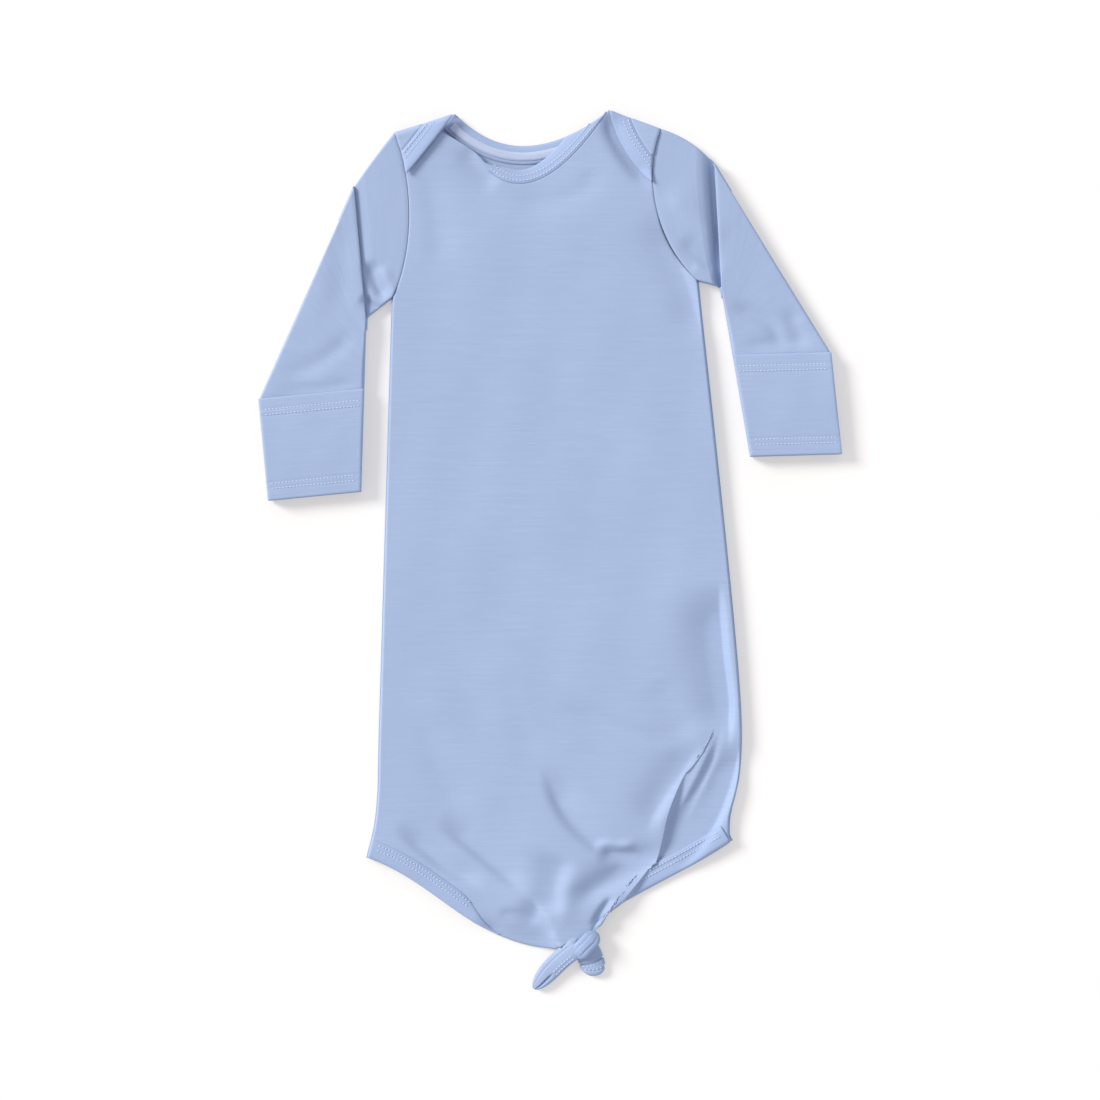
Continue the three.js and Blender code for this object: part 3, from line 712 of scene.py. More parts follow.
# %% Back panel
def back_height(xy):
    """The back lies on the floor and curls up along its sides and shoulders to meet the front."""
    height = JERSEY + 0.1 + 0.25 * (1 + np.sin(xy[:, 0] / 19 + xy[:, 1] / 33))
    height = height + 0.9 * hill(nearest(xy, FRONT_NECK)[0], 25)
    meeting = front_height(xy) - JERSEY - 0.02
    for line, radius in (
        (RIGHT["side"], EDGE_ROUND), (LEFT["side"], EDGE_ROUND),
        (SHOULDER_LINES[0], SHOULDER_ROUND), (SHOULDER_LINES[1], SHOULDER_ROUND),
    ):
        inwards = nearest(xy, line)[0] - EDGE_INSET
        height = height + (meeting - height) * (1 - rounded(inwards, radius))
    return height


back_rows = np.unique(np.concatenate([np.linspace(0, 1, 110), [0.003, 0.006, 0.994, 0.997]]))
back_flat = body_grid(BACK_NECK, SPINE, (crowd(70, True, False), crowd(34, False, True)), back_rows, 0.3)
back_z = back_height(back_flat.reshape(-1, 2)).reshape(back_flat.shape[:2])
back = panel("back_panel_cloth", back_flat, back_z, "back_panel")
print("back:", back_z.shape, "grid, lowest point", round(float(back_z.min() - JERSEY), 2), "mm")

# %% [markdown]
# ## Bindings and strips
#
# The neck and the hem are bound with a strip of the same jersey about 13 mm wide, and a binding is
# a little fuller than the cloth beside it. One helper carries a low crowned profile along a line: the
# strip lies on whatever height function it is given, dips at its seam and rolls down at its free edge.

# %% Strip helper
def strip_points(line, near, far, height, crown, steps, lift=0.5, roll=1.6, curl=1.2, end_edge=None):
    """A strip between two distances to the left of a line. Across it the height adds a low crown,
    a dip at the near edge, where the seam is, and a quarter-round fall at the far, free edge.
    With end_edge the strip's first end follows that direction and not the square of the line."""
    w = np.concatenate([[0, 0.02, 0.05, 0.1], np.linspace(0.18, 0.86, steps), [0.92, 0.96, 0.985, 1.0]])
    near, far = (np.broadcast_to(x, len(line)) for x in (near, far))
    distance = near[:, None] * (1 - w) + far[:, None] * w
    across = leftwards(line)
    if end_edge is not None:
        slant = end_edge / (end_edge @ across[0])
        across = across + (1 - ease(travelled(line) / 16))[:, None] * (slant - across)
    flat = line[:, None] + across[:, None] * distance[..., None]
    base = height(flat.reshape(-1, 2)).reshape(distance.shape)
    inside = np.abs(distance - near[:, None])
    outside = np.abs(far[:, None] - distance)
    rise = crown * np.sin(np.pi * np.clip(w, 0, 1)) ** 0.7
    dip = 0.55 * hill(inside, 0.6)
    fall = curl * (1 - rounded(outside, roll))
    return flat, base + lift + rise[None] - dip - fall, w


def add_strip(name, line, near, far, height, nodes, crown=0.35, steps=8,
              lift=0.5, roll=1.6, curl=1.2, material=BAND, thickness=JERSEY,
              end_edge=None):
    """A strip of binding as a finished piece of the gown. Its cut area is its width summed along it."""
    flat, z, w = strip_points(line, near, far, height, crown, steps, lift, roll, curl, end_edge)
    grain = np.dstack([np.broadcast_to(travelled(line)[:, None], z.shape),
                       np.broadcast_to(w * abs(np.mean(far) - np.mean(near)), z.shape)])
    piece = thicken(place(name, np.dstack([flat, z]), faces_of(*z.shape), grain), thickness)
    dress(piece, material, nodes, "gown")
    return piece


def part_of(path, start, end, count):
    """A stretch of a path between two shares of its length, evenly spaced."""
    return at_share(path, np.linspace(start, end, count))


# %% Front neck binding
def neck_front_height(xy):
    """The front binding stands with the front at its seam and sinks towards the back at its free edge."""
    sink = nearest(xy, FRONT_NECK)[0]
    return front_height(xy) * (1 - 0.035 * np.clip(sink, 0, 14))


neck_line = part_of(FRONT_NECK, 0.215, 0.985, 120)
room = np.linspace(0, NECK_BAND, 53)
tried = neck_line[:, None] + leftwards(neck_line)[:, None] * room[None, :, None]
roof = np.interp(tried[..., 0], BACK_NECK[:, 0], BACK_NECK[:, 1])
reach = np.where(tried[..., 1] < roof - 0.3, room[None], 0).max(1)
step = np.arange(120)
reach = np.minimum(reach, 10.4 * ease(step / 32 + 0.08) + 2.6 * ease(step / 60 - 0.7))
reach = np.maximum(reach, 1.5)
add_strip(
    "front_neck_band_cloth", neck_line, 0.15, reach, neck_front_height, ["front_neck_band"],
    lift=0.45,
)
print("front neck binding: widest", reach.max().round(1), "mm")

# %% Back neck binding and the thread over its seam
add_strip(
    "back_neck_band_cloth", part_of(BACK_NECK, 0.0, 1.0, 100), -NECK_BAND, -0.2,
    back_height, ["back_neck_band"], lift=0.9, curl=0.9,
)
add_strip(
    "back_neck_tape_cloth", part_of(BACK_NECK, 0.03, 0.93, 110), -10.6, -4.6, back_height,
    ["back_neck_tape"], lift=1.9, crown=0.5, curl=0.5,
    material=TAPE, thickness=0.5,
)


# %% [markdown]
# ## Lapped shoulders
#
# The back runs over each shoulder and laps onto the front, ending in the same binding. It is a small
# pointed flap. Its surface is ruled between the free edge and the shoulder-and-armhole line, and the
# binding takes the first 13 mm of each ruling.

# %% Laps
LAP_ROWS = 70


def lap_pieces(name, side):
    """The binding and the cloth of one lap, as two strips of the same ruled surface."""
    free = at_share(side["lap"], np.linspace(0.015, 0.985, LAP_ROWS))
    foot = round(side["lap_reach"] * (len(side["armhole"]) - 1))
    outer_path = np.vstack([side["tip"], side["shoulder"], side["armhole"][1 : foot + 1]])
    outer = at_share(outer_path, np.linspace(0.015, 0.985, LAP_ROWS))
    width = np.linalg.norm(outer - free, axis=1)
    seam = np.clip(NECK_BAND / np.maximum(width, 1e-6), 0, 0.96)
    made = []
    for kind, start, end, material, slot, nodes in (
        ("band", np.zeros(LAP_ROWS), seam, BAND, "band_jersey", ["back_neck_band"]),
        ("cloth", seam, np.ones(LAP_ROWS), CLOTH, "jersey", ["back_panel"]),
    ):
        w = np.concatenate([[0, 0.02, 0.05, 0.1], np.linspace(0.18, 0.82, 12), [0.9, 0.95, 0.98, 1]])
        used = (end - start) * width > 1.5
        share = (start[:, None] * (1 - w) + end[:, None] * w)[used]
        flat = free[used, None] * (1 - share[..., None]) + outer[used, None] * share[..., None]
        under = front_height(flat.reshape(-1, 2)).reshape(share.shape)
        from_free = share * width[used, None]
        from_seam = np.abs(share - seam[used, None]) * width[used, None]
        z = under + 1.4 + 2.4 * hill(from_free, 8) - 0.45 * hill(from_seam, 0.6)
        if kind == "band":
            z = z + 0.3 * np.sin(np.pi * w)[None] - 0.9 * (1 - rounded(from_free, 1.2))
        piece = merged(place(f"{name}_lap_{kind}", np.dstack([flat, z]), faces_of(*z.shape), flat))
        dress(thicken(piece, JERSEY), material, nodes, "gown")
        made.append(piece)
    return made


for side_name, side in NAMED_SIDES:
    pieces = lap_pieces(side_name, side)
    print(side_name, "lap:", [len(piece.data.polygons) for piece in pieces], "faces")

# %% [markdown]
# ## Sleeves
#
# Each sleeve is one tube of cloth from the armhole to the cuff. It lies flat, and where it turns down
# from the shoulder it makes a pleat: the outer part folds over the cap. The tube is a ring of points
# carried along the sleeve. The ring is a flat loop with round ends, and at the pleat the rings run
# forward, back and forward again, which is the fold.

# %% Sleeve surface
SLEEVE_HEIGHT = 8.6
SLEEVE_ROUND = 2.0
SLEEVE_WIDTH = 66.0
CAP_RUN = 30.0
# Steps through the pleat: how far beyond it, and the height against the plain sleeve, in millimetres.
PLEAT = {
    "right": [(-8, -0.2), (-5, -0.6), (-2, -1.1), (1, -1.5), (4, -1.8), (6.6, -1.8), (7.6, -1.2),
              (6.8, -0.7), (3.5, -0.3), (1.0, 0.1), (0.15, 0.6), (0.0, 1.1), (0.4, 1.6), (1.6, 2.0),
              (4, 2.1), (8, 2.1), (14, 1.9), (22, 1.6), (32, 1.3)],
    "left": [(-11, -0.3), (-8, -1.2), (-5, -3.0), (-2.4, -4.9), (0, -5.9), (2.6, -6.2), (5.5, -5.8),
             (6.8, -4.0), (6.0, -2.2), (3.2, -1.0), (1.0, -0.2), (0.15, 0.5), (0.0, 1.1), (0.4, 1.6),
             (1.6, 2.0), (4, 2.1), (8, 2.1), (14, 2.0), (22, 1.8), (32, 1.6)],
}


def sleeve_rows(name, side):
    """Rings along the sleeve: place (-1 armhole, 0 pleat, 1 cuff) and extra height of each."""
    run = side["inner_length"]
    pleat = np.array(PLEAT[name])
    at = np.where(pleat[:, 0] < 0, pleat[:, 0] / CAP_RUN, pleat[:, 0] / run)
    knots = np.linspace(0, len(at) - 1, 6 * len(at))
    fold = through(np.stack([at * 100, pleat[:, 1]], -1), len(knots))
    cap = np.concatenate([[-1, -0.99, -0.975, -0.95], np.linspace(-0.92, fold[0, 0] / 100, 24)[:-1]])
    rest = np.concatenate([np.linspace(fold[-1, 0] / 100, 0.985, 60)[1:], [0.992, 1.0]])
    places = np.concatenate([cap, fold[:, 0] / 100, rest])
    lift = np.concatenate([np.linspace(0, fold[0, 1], len(cap)) * np.linspace(0, 1, len(cap)) ** 2,
                           fold[:, 1], fold[-1, 1] * np.linspace(1, 0, len(rest))])
    return places, lift


def sleeve_lines(side, places):
    """For each ring, its inner and outer end: along the underarm, and along the outer edge."""
    cap_share = np.clip(places + 1, 0, 1)
    share = np.clip(places, 0, 1)
    outer_path = np.stack([side["pleat_top"], side["mitten_outer"], side["cuff_outer"]])
    inner_path = np.stack([side["pleat_foot"], side["cuff_inner"]])
    run = np.linalg.norm(side["mitten_inner"] - side["pleat_foot"]) / side["inner_length"]
    outer_knots = np.array([0, run, 1])
    outer = np.stack([np.interp(share, outer_knots, outer_path[:, k]) for k in range(2)], -1)
    inner = at_share(inner_path, share)
    cap_outer = at_share(side["cap"], cap_share)
    cap_inner = side["armpit"] + (side["pleat_foot"] - side["armpit"]) * cap_share[:, None]
    in_cap = (places < 0)[:, None]
    return np.where(in_cap, cap_inner, inner), np.where(in_cap, cap_outer, outer)


def sleeve_flat(side, places, t):
    """Plan of the sleeve: straight from inner to outer end, bent to the armhole's curve in the cap."""
    inner, outer = sleeve_lines(side, places)
    flat = inner[:, None] * (1 - t[None, :, None]) + outer[:, None] * t[None, :, None]
    armhole = at_share(side["armhole"][::-1], t)
    straight = side["armpit"] * (1 - t[:, None]) + side["shoulder"] * t[:, None]
    away = side["out"] * np.array([0.12, 0.0])
    fade = np.clip(-places, 0, 1)[:, None, None] ** 1.5
    return flat + fade * (armhole - straight + away)[None]


SLEEVE_FOLDS = {
    "right": [([(-131, 176), (-123, 169), (-112, 162)], -3.0, 3, 5),
              ([(-127, 200), (-121, 184), (-112, 172)], -3.4, 6, 4),
              ([(-118, 196), (-112, 184), (-106, 172)], 1.4, 4, 4),
              ([(-190, 126), (-172, 124), (-150, 136), (-134, 152)], -1.4, 6, 6),
              ([(-196, 108), (-170, 110), (-140, 114), (-130, 116)], -1.2, 4, 4),
              ([(-140, 228), (-144, 196), (-142, 160)], -1.0, 9, 9),
              ([(-150, 210), (-158, 180), (-166, 150)], 0.7, 10, 10)],
    "left": [([(76, 248), (96, 231), (118, 208)], 1.5, 10, 8),
             ([(88, 214), (102, 203), (118, 191)], -1.5, 8, 5),
             ([(96, 196), (106, 191), (114, 187)], 1.0, 3, 3),
             ([(122, 168), (138, 163), (152, 153), (160, 138)], -1.9, 5, 5),
             ([(164, 168), (168, 152), (176, 140)], -1.2, 5, 6),
             ([(128, 140), (150, 142), (186, 146)], -1.2, 4, 4)],
}


def sleeve_height(name, side, places, t, lift, flat):
    """Half height of the flat tube and its folds: full in the middle, round towards both edges."""
    inner, outer = sleeve_lines(side, places)
    width = np.linalg.norm(outer - inner, axis=1)
    depth = np.full(len(places), SLEEVE_HEIGHT) - 1.2 * ease(places)
    across = np.minimum(t, 1 - t)[None] * width[:, None]
    edge = rounded(across, SLEEVE_ROUND)
    xy = flat.reshape(-1, 2)
    soft = 0.6 * ripple(xy * 1.3)
    for line, rise, left, right in SLEEVE_FOLDS[name]:
        soft = soft + crease(xy, through(line, 21), rise, left, right)
    soft = soft.reshape(edge.shape)
    seam = 0.4 * hill((places + 1) * 24, 0.7)
    top = depth[:, None] / 2 * (1 + edge) + (lift[:, None] + soft) * edge - seam[:, None] * edge
    foot = depth[:, None] / 2 * (1 - edge) + 0.15
    return top, foot


def sleeve_piece(name, side):
    """The whole sleeve as one closed ring carried from armhole to cuff."""
    places, lift = sleeve_rows(name, side)
    width = SLEEVE_WIDTH
    t_top = end_spaced(58, SLEEVE_ROUND, 7, width)
    t_foot = end_spaced(14, SLEEVE_ROUND, 5, width)[1:-1][::-1]
    over, under = sleeve_flat(side, places, t_top), sleeve_flat(side, places, t_foot)
    top, _ = sleeve_height(name, side, places, t_top, lift, over)
    _, foot = sleeve_height(name, side, places, t_foot, lift, under)
    points = np.concatenate([np.dstack([over, top]), np.dstack([under, foot])], axis=1)
    girth = np.concatenate([t_top, 2 - t_foot]) * width
    run = np.cumsum(np.concatenate([[0], np.abs(np.diff(places))])) * side["inner_length"]
    grain = np.dstack(np.broadcast_arrays(girth[None], run[:, None]))
    rows, columns = points.shape[:2]
    points = np.concatenate([points, points[:, :1]], axis=1)
    grain = np.concatenate([grain, np.dstack([np.full((rows, 1), 2 * width), run[:, None]])], axis=1)
    piece = place(f"{name}_sleeve_cloth", points, faces_of(rows, columns + 1), grain, closed=True)
    thicken(merged(piece, 0.001), JERSEY)
    return dress(piece, CLOTH, [f"{name}_sleeve_cap", f"{name}_sleeve"])


def blend_line(side):
    """Start and end of the bend, across the pleat, in metres."""
    middle = (side["pleat_foot"] + side["pleat_top"]) / 2
    along = side["pleat_top"] - side["pleat_foot"]
    along = along / np.linalg.norm(along)
    away = side["out"] * np.array([along[1], -along[0]])
    start, end = middle - 5 * away, middle + 5 * away
    return [(x * MM, y * MM, 0.0) for x, y in (start, end)]


for side_name, side in NAMED_SIDES:
    sleeve = sleeve_piece(side_name, side)
    start, end = blend_line(side)
    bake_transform(sleeve)
    print(side_name, "sleeve:", len(sleeve.data.polygons), "faces")


# %% [markdown]
# ## Mitten flaps
#
# The end of each sleeve folds back over itself and can be turned down over the hand. The flap is two
# layers of jersey with a soft folded edge. It is a sheet over the sleeve's end that rounds down at its
# sides, with its own thickness, and it rides on the body that turns it.

# %% Mitten flaps
FLAP_LIFT = 3.4
FLAP_EDGE = 9.9
DOUBLED = 1.3


def flap_plan(side, along, across):
    """Plan of the flap: straight between its four corners."""
    inner = side["cuff_inner"] + (side["mitten_inner"] - side["cuff_inner"]) * along[:, None]
    outer = side["cuff_outer"] + (side["mitten_outer"] - side["cuff_outer"]) * along[:, None]
    return inner[:, None] * (1 - across[None, :, None]) + outer[:, None] * across[None, :, None]


def flap_top(side, flat_xy):
    """Height of the flap: a flat sheet over the sleeve, round at its sides, low at the folded ends."""
    frame_side = side["mitten_inner"] - side["cuff_inner"]
    length = np.linalg.norm(frame_side)
    along = (flat_xy - side["cuff_inner"]) @ frame_side / length
    inner_gap = nearest(flat_xy, np.stack([side["cuff_inner"], side["mitten_inner"]]))[0]
    outer_gap = nearest(flat_xy, np.stack([side["cuff_outer"], side["mitten_outer"]]))[0]
    edge = rounded(np.minimum(inner_gap, outer_gap) + 0.05, SLEEVE_ROUND)
    body = SLEEVE_HEIGHT - 1.2 * ease(0.9) + FLAP_LIFT
    height = FLAP_EDGE + (body - FLAP_EDGE) * edge
    top_end = nearest(flat_xy, np.stack([side["mitten_inner"], side["mitten_outer"]]))[0]
    cuff_end = nearest(flat_xy, np.stack([side["cuff_inner"], side["cuff_outer"]]))[0]
    height = height - 1.1 * (1 - rounded(top_end, 1.3)) * edge - 1.1 * (1 - rounded(cuff_end, 1.3)) * edge
    for gap in (8.0, 12.0):
        for end in (top_end, cuff_end):
            height = height - 0.28 * hill(end - gap, 0.8) * edge
    swell = 0.5 * np.sin(np.pi * np.clip(along / length, 0, 1)) * edge
    return height + swell + 0.5 * ripple(flat_xy * 1.7) * edge


for side_name, side in NAMED_SIDES:
    along = end_spaced(60, 2.0, 6, MITTEN_LENGTH)
    across = end_spaced(56, SLEEVE_ROUND, 7, CUFF_WIDTH)
    flat = flap_plan(side, along, across)
    z = flap_top(side, flat.reshape(-1, 2)).reshape(flat.shape[:2])
    grain = np.dstack(np.broadcast_arrays(across[None] * CUFF_WIDTH, along[:, None] * MITTEN_LENGTH))
    flap = place(f"{side_name}_mitten_cloth", np.dstack([flat, z]), faces_of(*z.shape), grain)
    dress(thicken(flap, DOUBLED), CLOTH, [f"{side_name}_mitten_flap"], f"{side_name}_mitten")
    print(side_name, "mitten flap:", z.shape, "grid")

# %% [markdown]
# ## Hem binding
#
# The hem is bound like the neck. From each corner the binding runs towards the knot and rolls under
# before it gets there, so the width that shows shrinks along its way. On the back it stays full width.

# %% Hem bindings
# For each side: where the front binding starts, where it is gone, and where it begins to narrow.
BAND_SHOWS = {"right": (0.0, 0.72, 0.44), "left": (0.014, 0.80, 0.72)}


def beside_tuck(line, sign):
    """Room for the binding on the outer side of the tuck, at each point of the hem."""
    room = np.linspace(0.3, HEM_BAND, 60)
    tried = line[:, None] + leftwards(line)[:, None] * sign * room[None, :, None]
    outer = nearest(tried.reshape(-1, 2), TUCK_PATH)[2].reshape(len(line), -1) > 0
    return np.where(outer, room[None], 0.3).max(1)


def hem_band(name, side, layer):
    """One length of hem binding. Its width eases to nothing at the end that rolls under."""
    start, end, turn = BAND_SHOWS[name] if layer == "front" else (0.0, 0.93, 0.8)
    line = part_of(side["hem"], start + 0.001, end, 110)
    share = np.linspace(start, end, 110)
    on_front = layer == "front"
    narrowed = ease((share - turn) / max(end - turn, 1e-6)) * (0.9 if on_front else 0.35)
    width = HEM_BAND * (1 - narrowed)
    sign = -side["out"]
    if name == "left" and on_front:
        room = beside_tuck(line, sign)
        seen = room > 3.0
        line, width = line[seen], np.minimum(width, room)[seen]
    return add_strip(
        f"{name}_{layer}_hem_cloth", line, sign * width, sign * -0.25,
        front_height if on_front else back_height, [f"{name}_{layer}_hem_band"],
        lift=0.75 if on_front else 0.25, crown=0.3,
        curl=0.9 if on_front else 0.2, end_edge=side["side"][-6] - side["corner"],
    )


for side_name, side in NAMED_SIDES:
    for layer in ("front", "back"):
        hem_band(side_name, side, layer)

# %% [markdown]
# ## Seams inside
#
# Side and armhole seams leave a narrow allowance of cloth inside the gown. They hardly show, but they
# are pieces of the gown: two plies of jersey, overlocked, standing between the layers.

# %% Seam allowances
def inside_height(xy):
    """Halfway between the back and the front, following both."""
    return (front_height(xy) + back_height(xy)) / 2


for side_name, side in NAMED_SIDES:
    inwards = -side["out"]
    for seam, line, near, far, flat_size in (
        ("side", part_of(side["side"], 0.04, 0.95, 130), 0.9, 6.5, (0.012, 0.35)),
        ("armhole", part_of(side["armhole"], 0.08, 0.92, 60), 1.2, 5.4, (0.011, 0.10)),
    ):
        add_strip(f"{side_name}_{seam}_seam_cloth", line, inwards * near, inwards * far, inside_height,
                  [f"{side_name}_{seam}_seam"], lift=0.0,
                  material=CLOTH, thickness=1.2, steps=5)

# %% [markdown]
# ## The knot and its tails
#
# The hem is gathered and tied once. What shows is a small firm ball of folded cloth with one turn
# across it, and two tails: a long one rolled to a leaf with an open end, and a short one that is
# bound and folded. Each is a closed profile carried along a line, with grooves where the cloth overlaps.

# %% Knot
def swept(name, line, half_width, half_height, rise, groove, ring=40, power=2.0):
    """A closed body: an oval ring carried along a line and drawn together at both ends.
    groove(share, angle) gives how far the surface is pressed in at a place on it."""
    count = len(line)
    share = np.linspace(0, 1, count)
    angle = np.linspace(0, 2 * np.pi, ring, endpoint=False)
    c, s = np.cos(angle), np.sin(angle)
    oval_x = np.sign(c) * np.abs(c) ** (2 / power)
    oval_z = np.sign(s) * np.abs(s) ** (2 / power)
    shrink = 1 - groove(share[:, None], angle[None]) / np.maximum(half_height, 0.5)[:, None]
    normal = leftwards(line)
    flat = line[:, None] + normal[:, None] * (half_width[:, None] * oval_x[None] * shrink)[..., None]
    z = rise[:, None] + half_height[:, None] * oval_z[None] * shrink
    grain = np.dstack(np.broadcast_arrays(angle[None] * half_width.max(), travelled(line)[:, None]))
    points = np.dstack([flat, z])
    points = np.concatenate([points, points[:, :1]], axis=1)
    grain = np.concatenate([grain, grain[:, :1] + (2 * np.pi * half_width.max(), 0)], axis=1)
    piece = place(name, points, faces_of(count, ring + 1), grain, closed=True)
    return merged(piece, 0.001)


def taper(share, start, end, power=0.5):
    """Widths that round off to nothing at both ends: an ellipse's quarter over the first and last part."""
    return (rounded(share, start) * rounded(1 - share, end)) ** (2 * power)


def from_knot(points, count):
    """A smooth line through points given from the knot's middle, evenly spaced."""
    return part_of(through([KNOT + point for point in points], 30), 0, 1, count)


def knot_grooves(share, angle):
    """Three shallow valleys that wind round the ball."""
    return 0.9 * np.clip(np.cos(3 * angle + 5 * share * np.pi), 0, 1) ** 3 * np.sin(np.pi * share)


share = np.linspace(0, 1, 60)
knot_line = part_of(np.stack([KNOT + (-10.5, 2.0), KNOT + (12.0, -0.5)]), 0, 1, 60)
round_off = np.sqrt(np.clip(1 - (2 * share - 1) ** 2, 0, 1))
knot = swept("knot_cloth", knot_line, 9.2 * round_off + 0.01, 5.2 * round_off + 0.01,
             np.full(60, 6.0), knot_grooves)
dress(knot, CLOTH, ["knot"], "gown")


def turn_grooves(share, angle):
    """The binding's edge and its seam, which run along the turn of cloth as two fine valleys."""
    middle = np.sin(np.pi * share)
    edge = 0.8 * hill(angle - np.pi * 0.68, 0.10)
    return middle * (edge + 0.6 * hill(angle - np.pi * 0.36, 0.10))


turn_line = from_knot([(15.0, 9.0), (11.0, 4.0), (5.5, -1.5), (-0.5, -8.5)], 60)
turn_rise = 6.6 + 6.0 * np.sin(np.pi * np.clip(share * 0.86 + 0.08, 0, 1)) ** 0.8
turn = swept("knot_wrap_cloth", turn_line, 6.2 * taper(share, 0.3, 0.3) + 0.01,
             2.4 * taper(share, 0.25, 0.25) + 0.01, turn_rise, turn_grooves, ring=60)
dress(turn, BAND, ["knot_wrap"], "gown")
print("knot:", len(knot.data.polygons), "faces, turn:", len(turn.data.polygons), "faces")

# %% Tails
long_line = from_knot([(3, 0), (-7, -8), (-17.5, -18.5), (-28.5, -31)], 110)
share = np.linspace(0, 1, 110)


def leaf_slit(share, angle):
    """The open end of the rolled tail: a narrow slit along its upper side that deepens to the tip,
    and the edge of the binding beside it."""
    slit = 3.4 * ease((share - 0.60) / 0.16) * hill(angle - np.pi / 2 + 0.42, 0.13)
    edge = 0.5 * ease(share / 0.2) * hill(angle - np.pi / 2 - 0.55, 0.10)
    return slit + edge


LONG_HALF = 7.0 * taper(share, 0.10, 0.46) + 0.01
LONG_HIGH = 3.2 * taper(share, 0.12, 0.2) + 0.01
LONG_RISE = 3.5 + 6.0 * (1 - ease(share / 0.6))
long_tail = swept("long_tail_cloth", long_line, LONG_HALF, LONG_HIGH, LONG_RISE, leaf_slit,
                  ring=84, power=2.4)
short_line = from_knot([(6, 0), (10, -8), (12.5, -16), (13, -22.3)], 90)
short_share = np.linspace(0, 1, 90)


def hem_groove(share, angle):
    """The seam of the binding across the short tail, curved with it, and the dip beside it."""
    bowed = share + 0.07 * np.cos(angle) ** 2
    return 0.9 * hill(bowed - 0.60, 0.016) + 0.3 * hill(bowed - 0.82, 0.03)


SHORT_HALF = 8.8 * taper(short_share, 0.25, 0.36) + 0.01
SHORT_HIGH = 2.8 * taper(short_share, 0.2, 0.16) + 0.01
SHORT_RISE = 3.1 + 3.6 * (1 - ease(short_share / 0.55))
short_tail = swept("short_tail_cloth", short_line, SHORT_HALF, SHORT_HIGH, SHORT_RISE, hem_groove,
                   ring=72, power=2.6)

# Where each tail leaves the knot, in degrees: its hinge lies there, across the tail.
TAIL_ANGLES = {"long": 230.0, "short": 321.0}


def tail_bend(end):
    """Start and end of a tail's bend, in metres: 3 mm before and 4 mm beyond its hinge. The hinge lies
    where a line at the tail's angle leaves the knot's oval, and 2.5 mm further out."""
    way = polar(TAIL_ANGLES[end], 1.0)
    hinge = KNOT + way * (1 / np.hypot(way[0] / 12.5, way[1] / 10.5) + 2.5)
    return [(x * MM, y * MM, 0.0) for x, y in (hinge - 3 * way, hinge + 4 * way)]


for tail, end in ((long_tail, "long"), (short_tail, "short")):
    dress(tail, CLOTH, [f"{end}_tail"])
    start, stop = tail_bend(end)
    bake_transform(tail)
print("tails:", len(long_tail.data.polygons), len(short_tail.data.polygons), "faces")

# %% [markdown]
# ## Cover stitching
#
# Two rows of short stitches hold each binding. They are thread on top of the cloth and catch the
# light, so they are real: one small closed bead per stitch, the same few faces carried to every place
# along the line, turned to it and laid on the cloth.

# %% Stitch helper
STITCH_LENGTH = 1.9
STITCH_PITCH = 2.4
THREAD_LIFT = 0.12
THREAD_WIDE, THREAD_HIGH = 0.47, 0.32
RING_SIZE = 6


def bead(rings=5, around=RING_SIZE):
    """One stitch: rings whose radius follows half a sine along the stitch, closed at both ends."""
    along = np.linspace(0, 1, rings)
    angle = np.linspace(0, 2 * np.pi, around, endpoint=False)
    radius = np.sin(np.pi * np.clip(along, 0.06, 0.94)) ** 0.5
    x = np.broadcast_to((along[:, None] - 0.5) * STITCH_LENGTH, (rings, around))
    y = THREAD_WIDE * radius[:, None] * np.cos(angle)
    z = THREAD_HIGH * radius[:, None] * np.sin(angle)
    body = np.stack([x, y, z], -1).reshape(-1, 3)
    quads = faces_of(rings, around, round_columns=True).reshape(-1, 4)
    return body, quads


BEAD_POINTS, BEAD_QUADS = bead()


def stitches(name, rows, height, body, node, bend_at=None):
    """Beads along each row, one every pitch, with the cloth's slope along the row taken into account."""
    points = []
    for row in rows:
        length = travelled(row)[-1]
        count = max(int(length / STITCH_PITCH), 2)
        middle = (np.arange(count) + 0.5) / count
        half = STITCH_LENGTH / 2 / length
        ends = [at_share(row, np.clip(middle + k * half, 0, 1)) for k in (-1, 1)]
        tops = [height(end) + THREAD_LIFT for end in ends]
        start, stop = (np.column_stack([e, z]) for e, z in zip(ends, tops))
        way = (stop - start) / np.linalg.norm(stop - start, axis=1, keepdims=True)
        side = np.column_stack([-way[:, 1], way[:, 0], np.zeros(count)])
        side /= np.linalg.norm(side, axis=1, keepdims=True)
        up = np.cross(way, side)
        made = ((start + stop) / 2)[:, None] + sum(
            BEAD_POINTS[None, :, k, None] * axis[:, None] for k, axis in enumerate((way, side, up))
        )
        points.append(made.reshape(-1, 3))
    all_points = np.concatenate(points)
    number = len(all_points) // len(BEAD_POINTS)
    base = (np.arange(number) * len(BEAD_POINTS))[:, None, None]
    quads = (BEAD_QUADS[None] + base).reshape(-1, 4)
    first = np.arange(RING_SIZE)[::-1][None] + base[:, :, 0]
    last = np.arange(len(BEAD_POINTS) - RING_SIZE, len(BEAD_POINTS))[None] + base[:, :, 0]
    faces = [face for part in (quads, first, last) for face in part[:, ::-1].tolist()]
    mesh = bpy.data.meshes.new(name)
    mesh.from_pydata((all_points * MM).tolist(), [], faces)
    mesh.shade_smooth()
    mesh.validate()
    piece = bpy.data.objects.new(name, mesh)
    bpy.context.scene.collection.objects.link(piece)
    dress(piece, THREAD, [node], None if bend_at else body)
    if bend_at:
        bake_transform(piece)


def pair(line, first, second):
    """Two rows beside a line, at two distances to its left."""
    return [line + leftwards(line) * distance for distance in (first, second)]


# %% Stitching on the bindings
def on_front_band(xy):
    """Top of the front neck binding."""
    return neck_front_height(xy) + 0.75


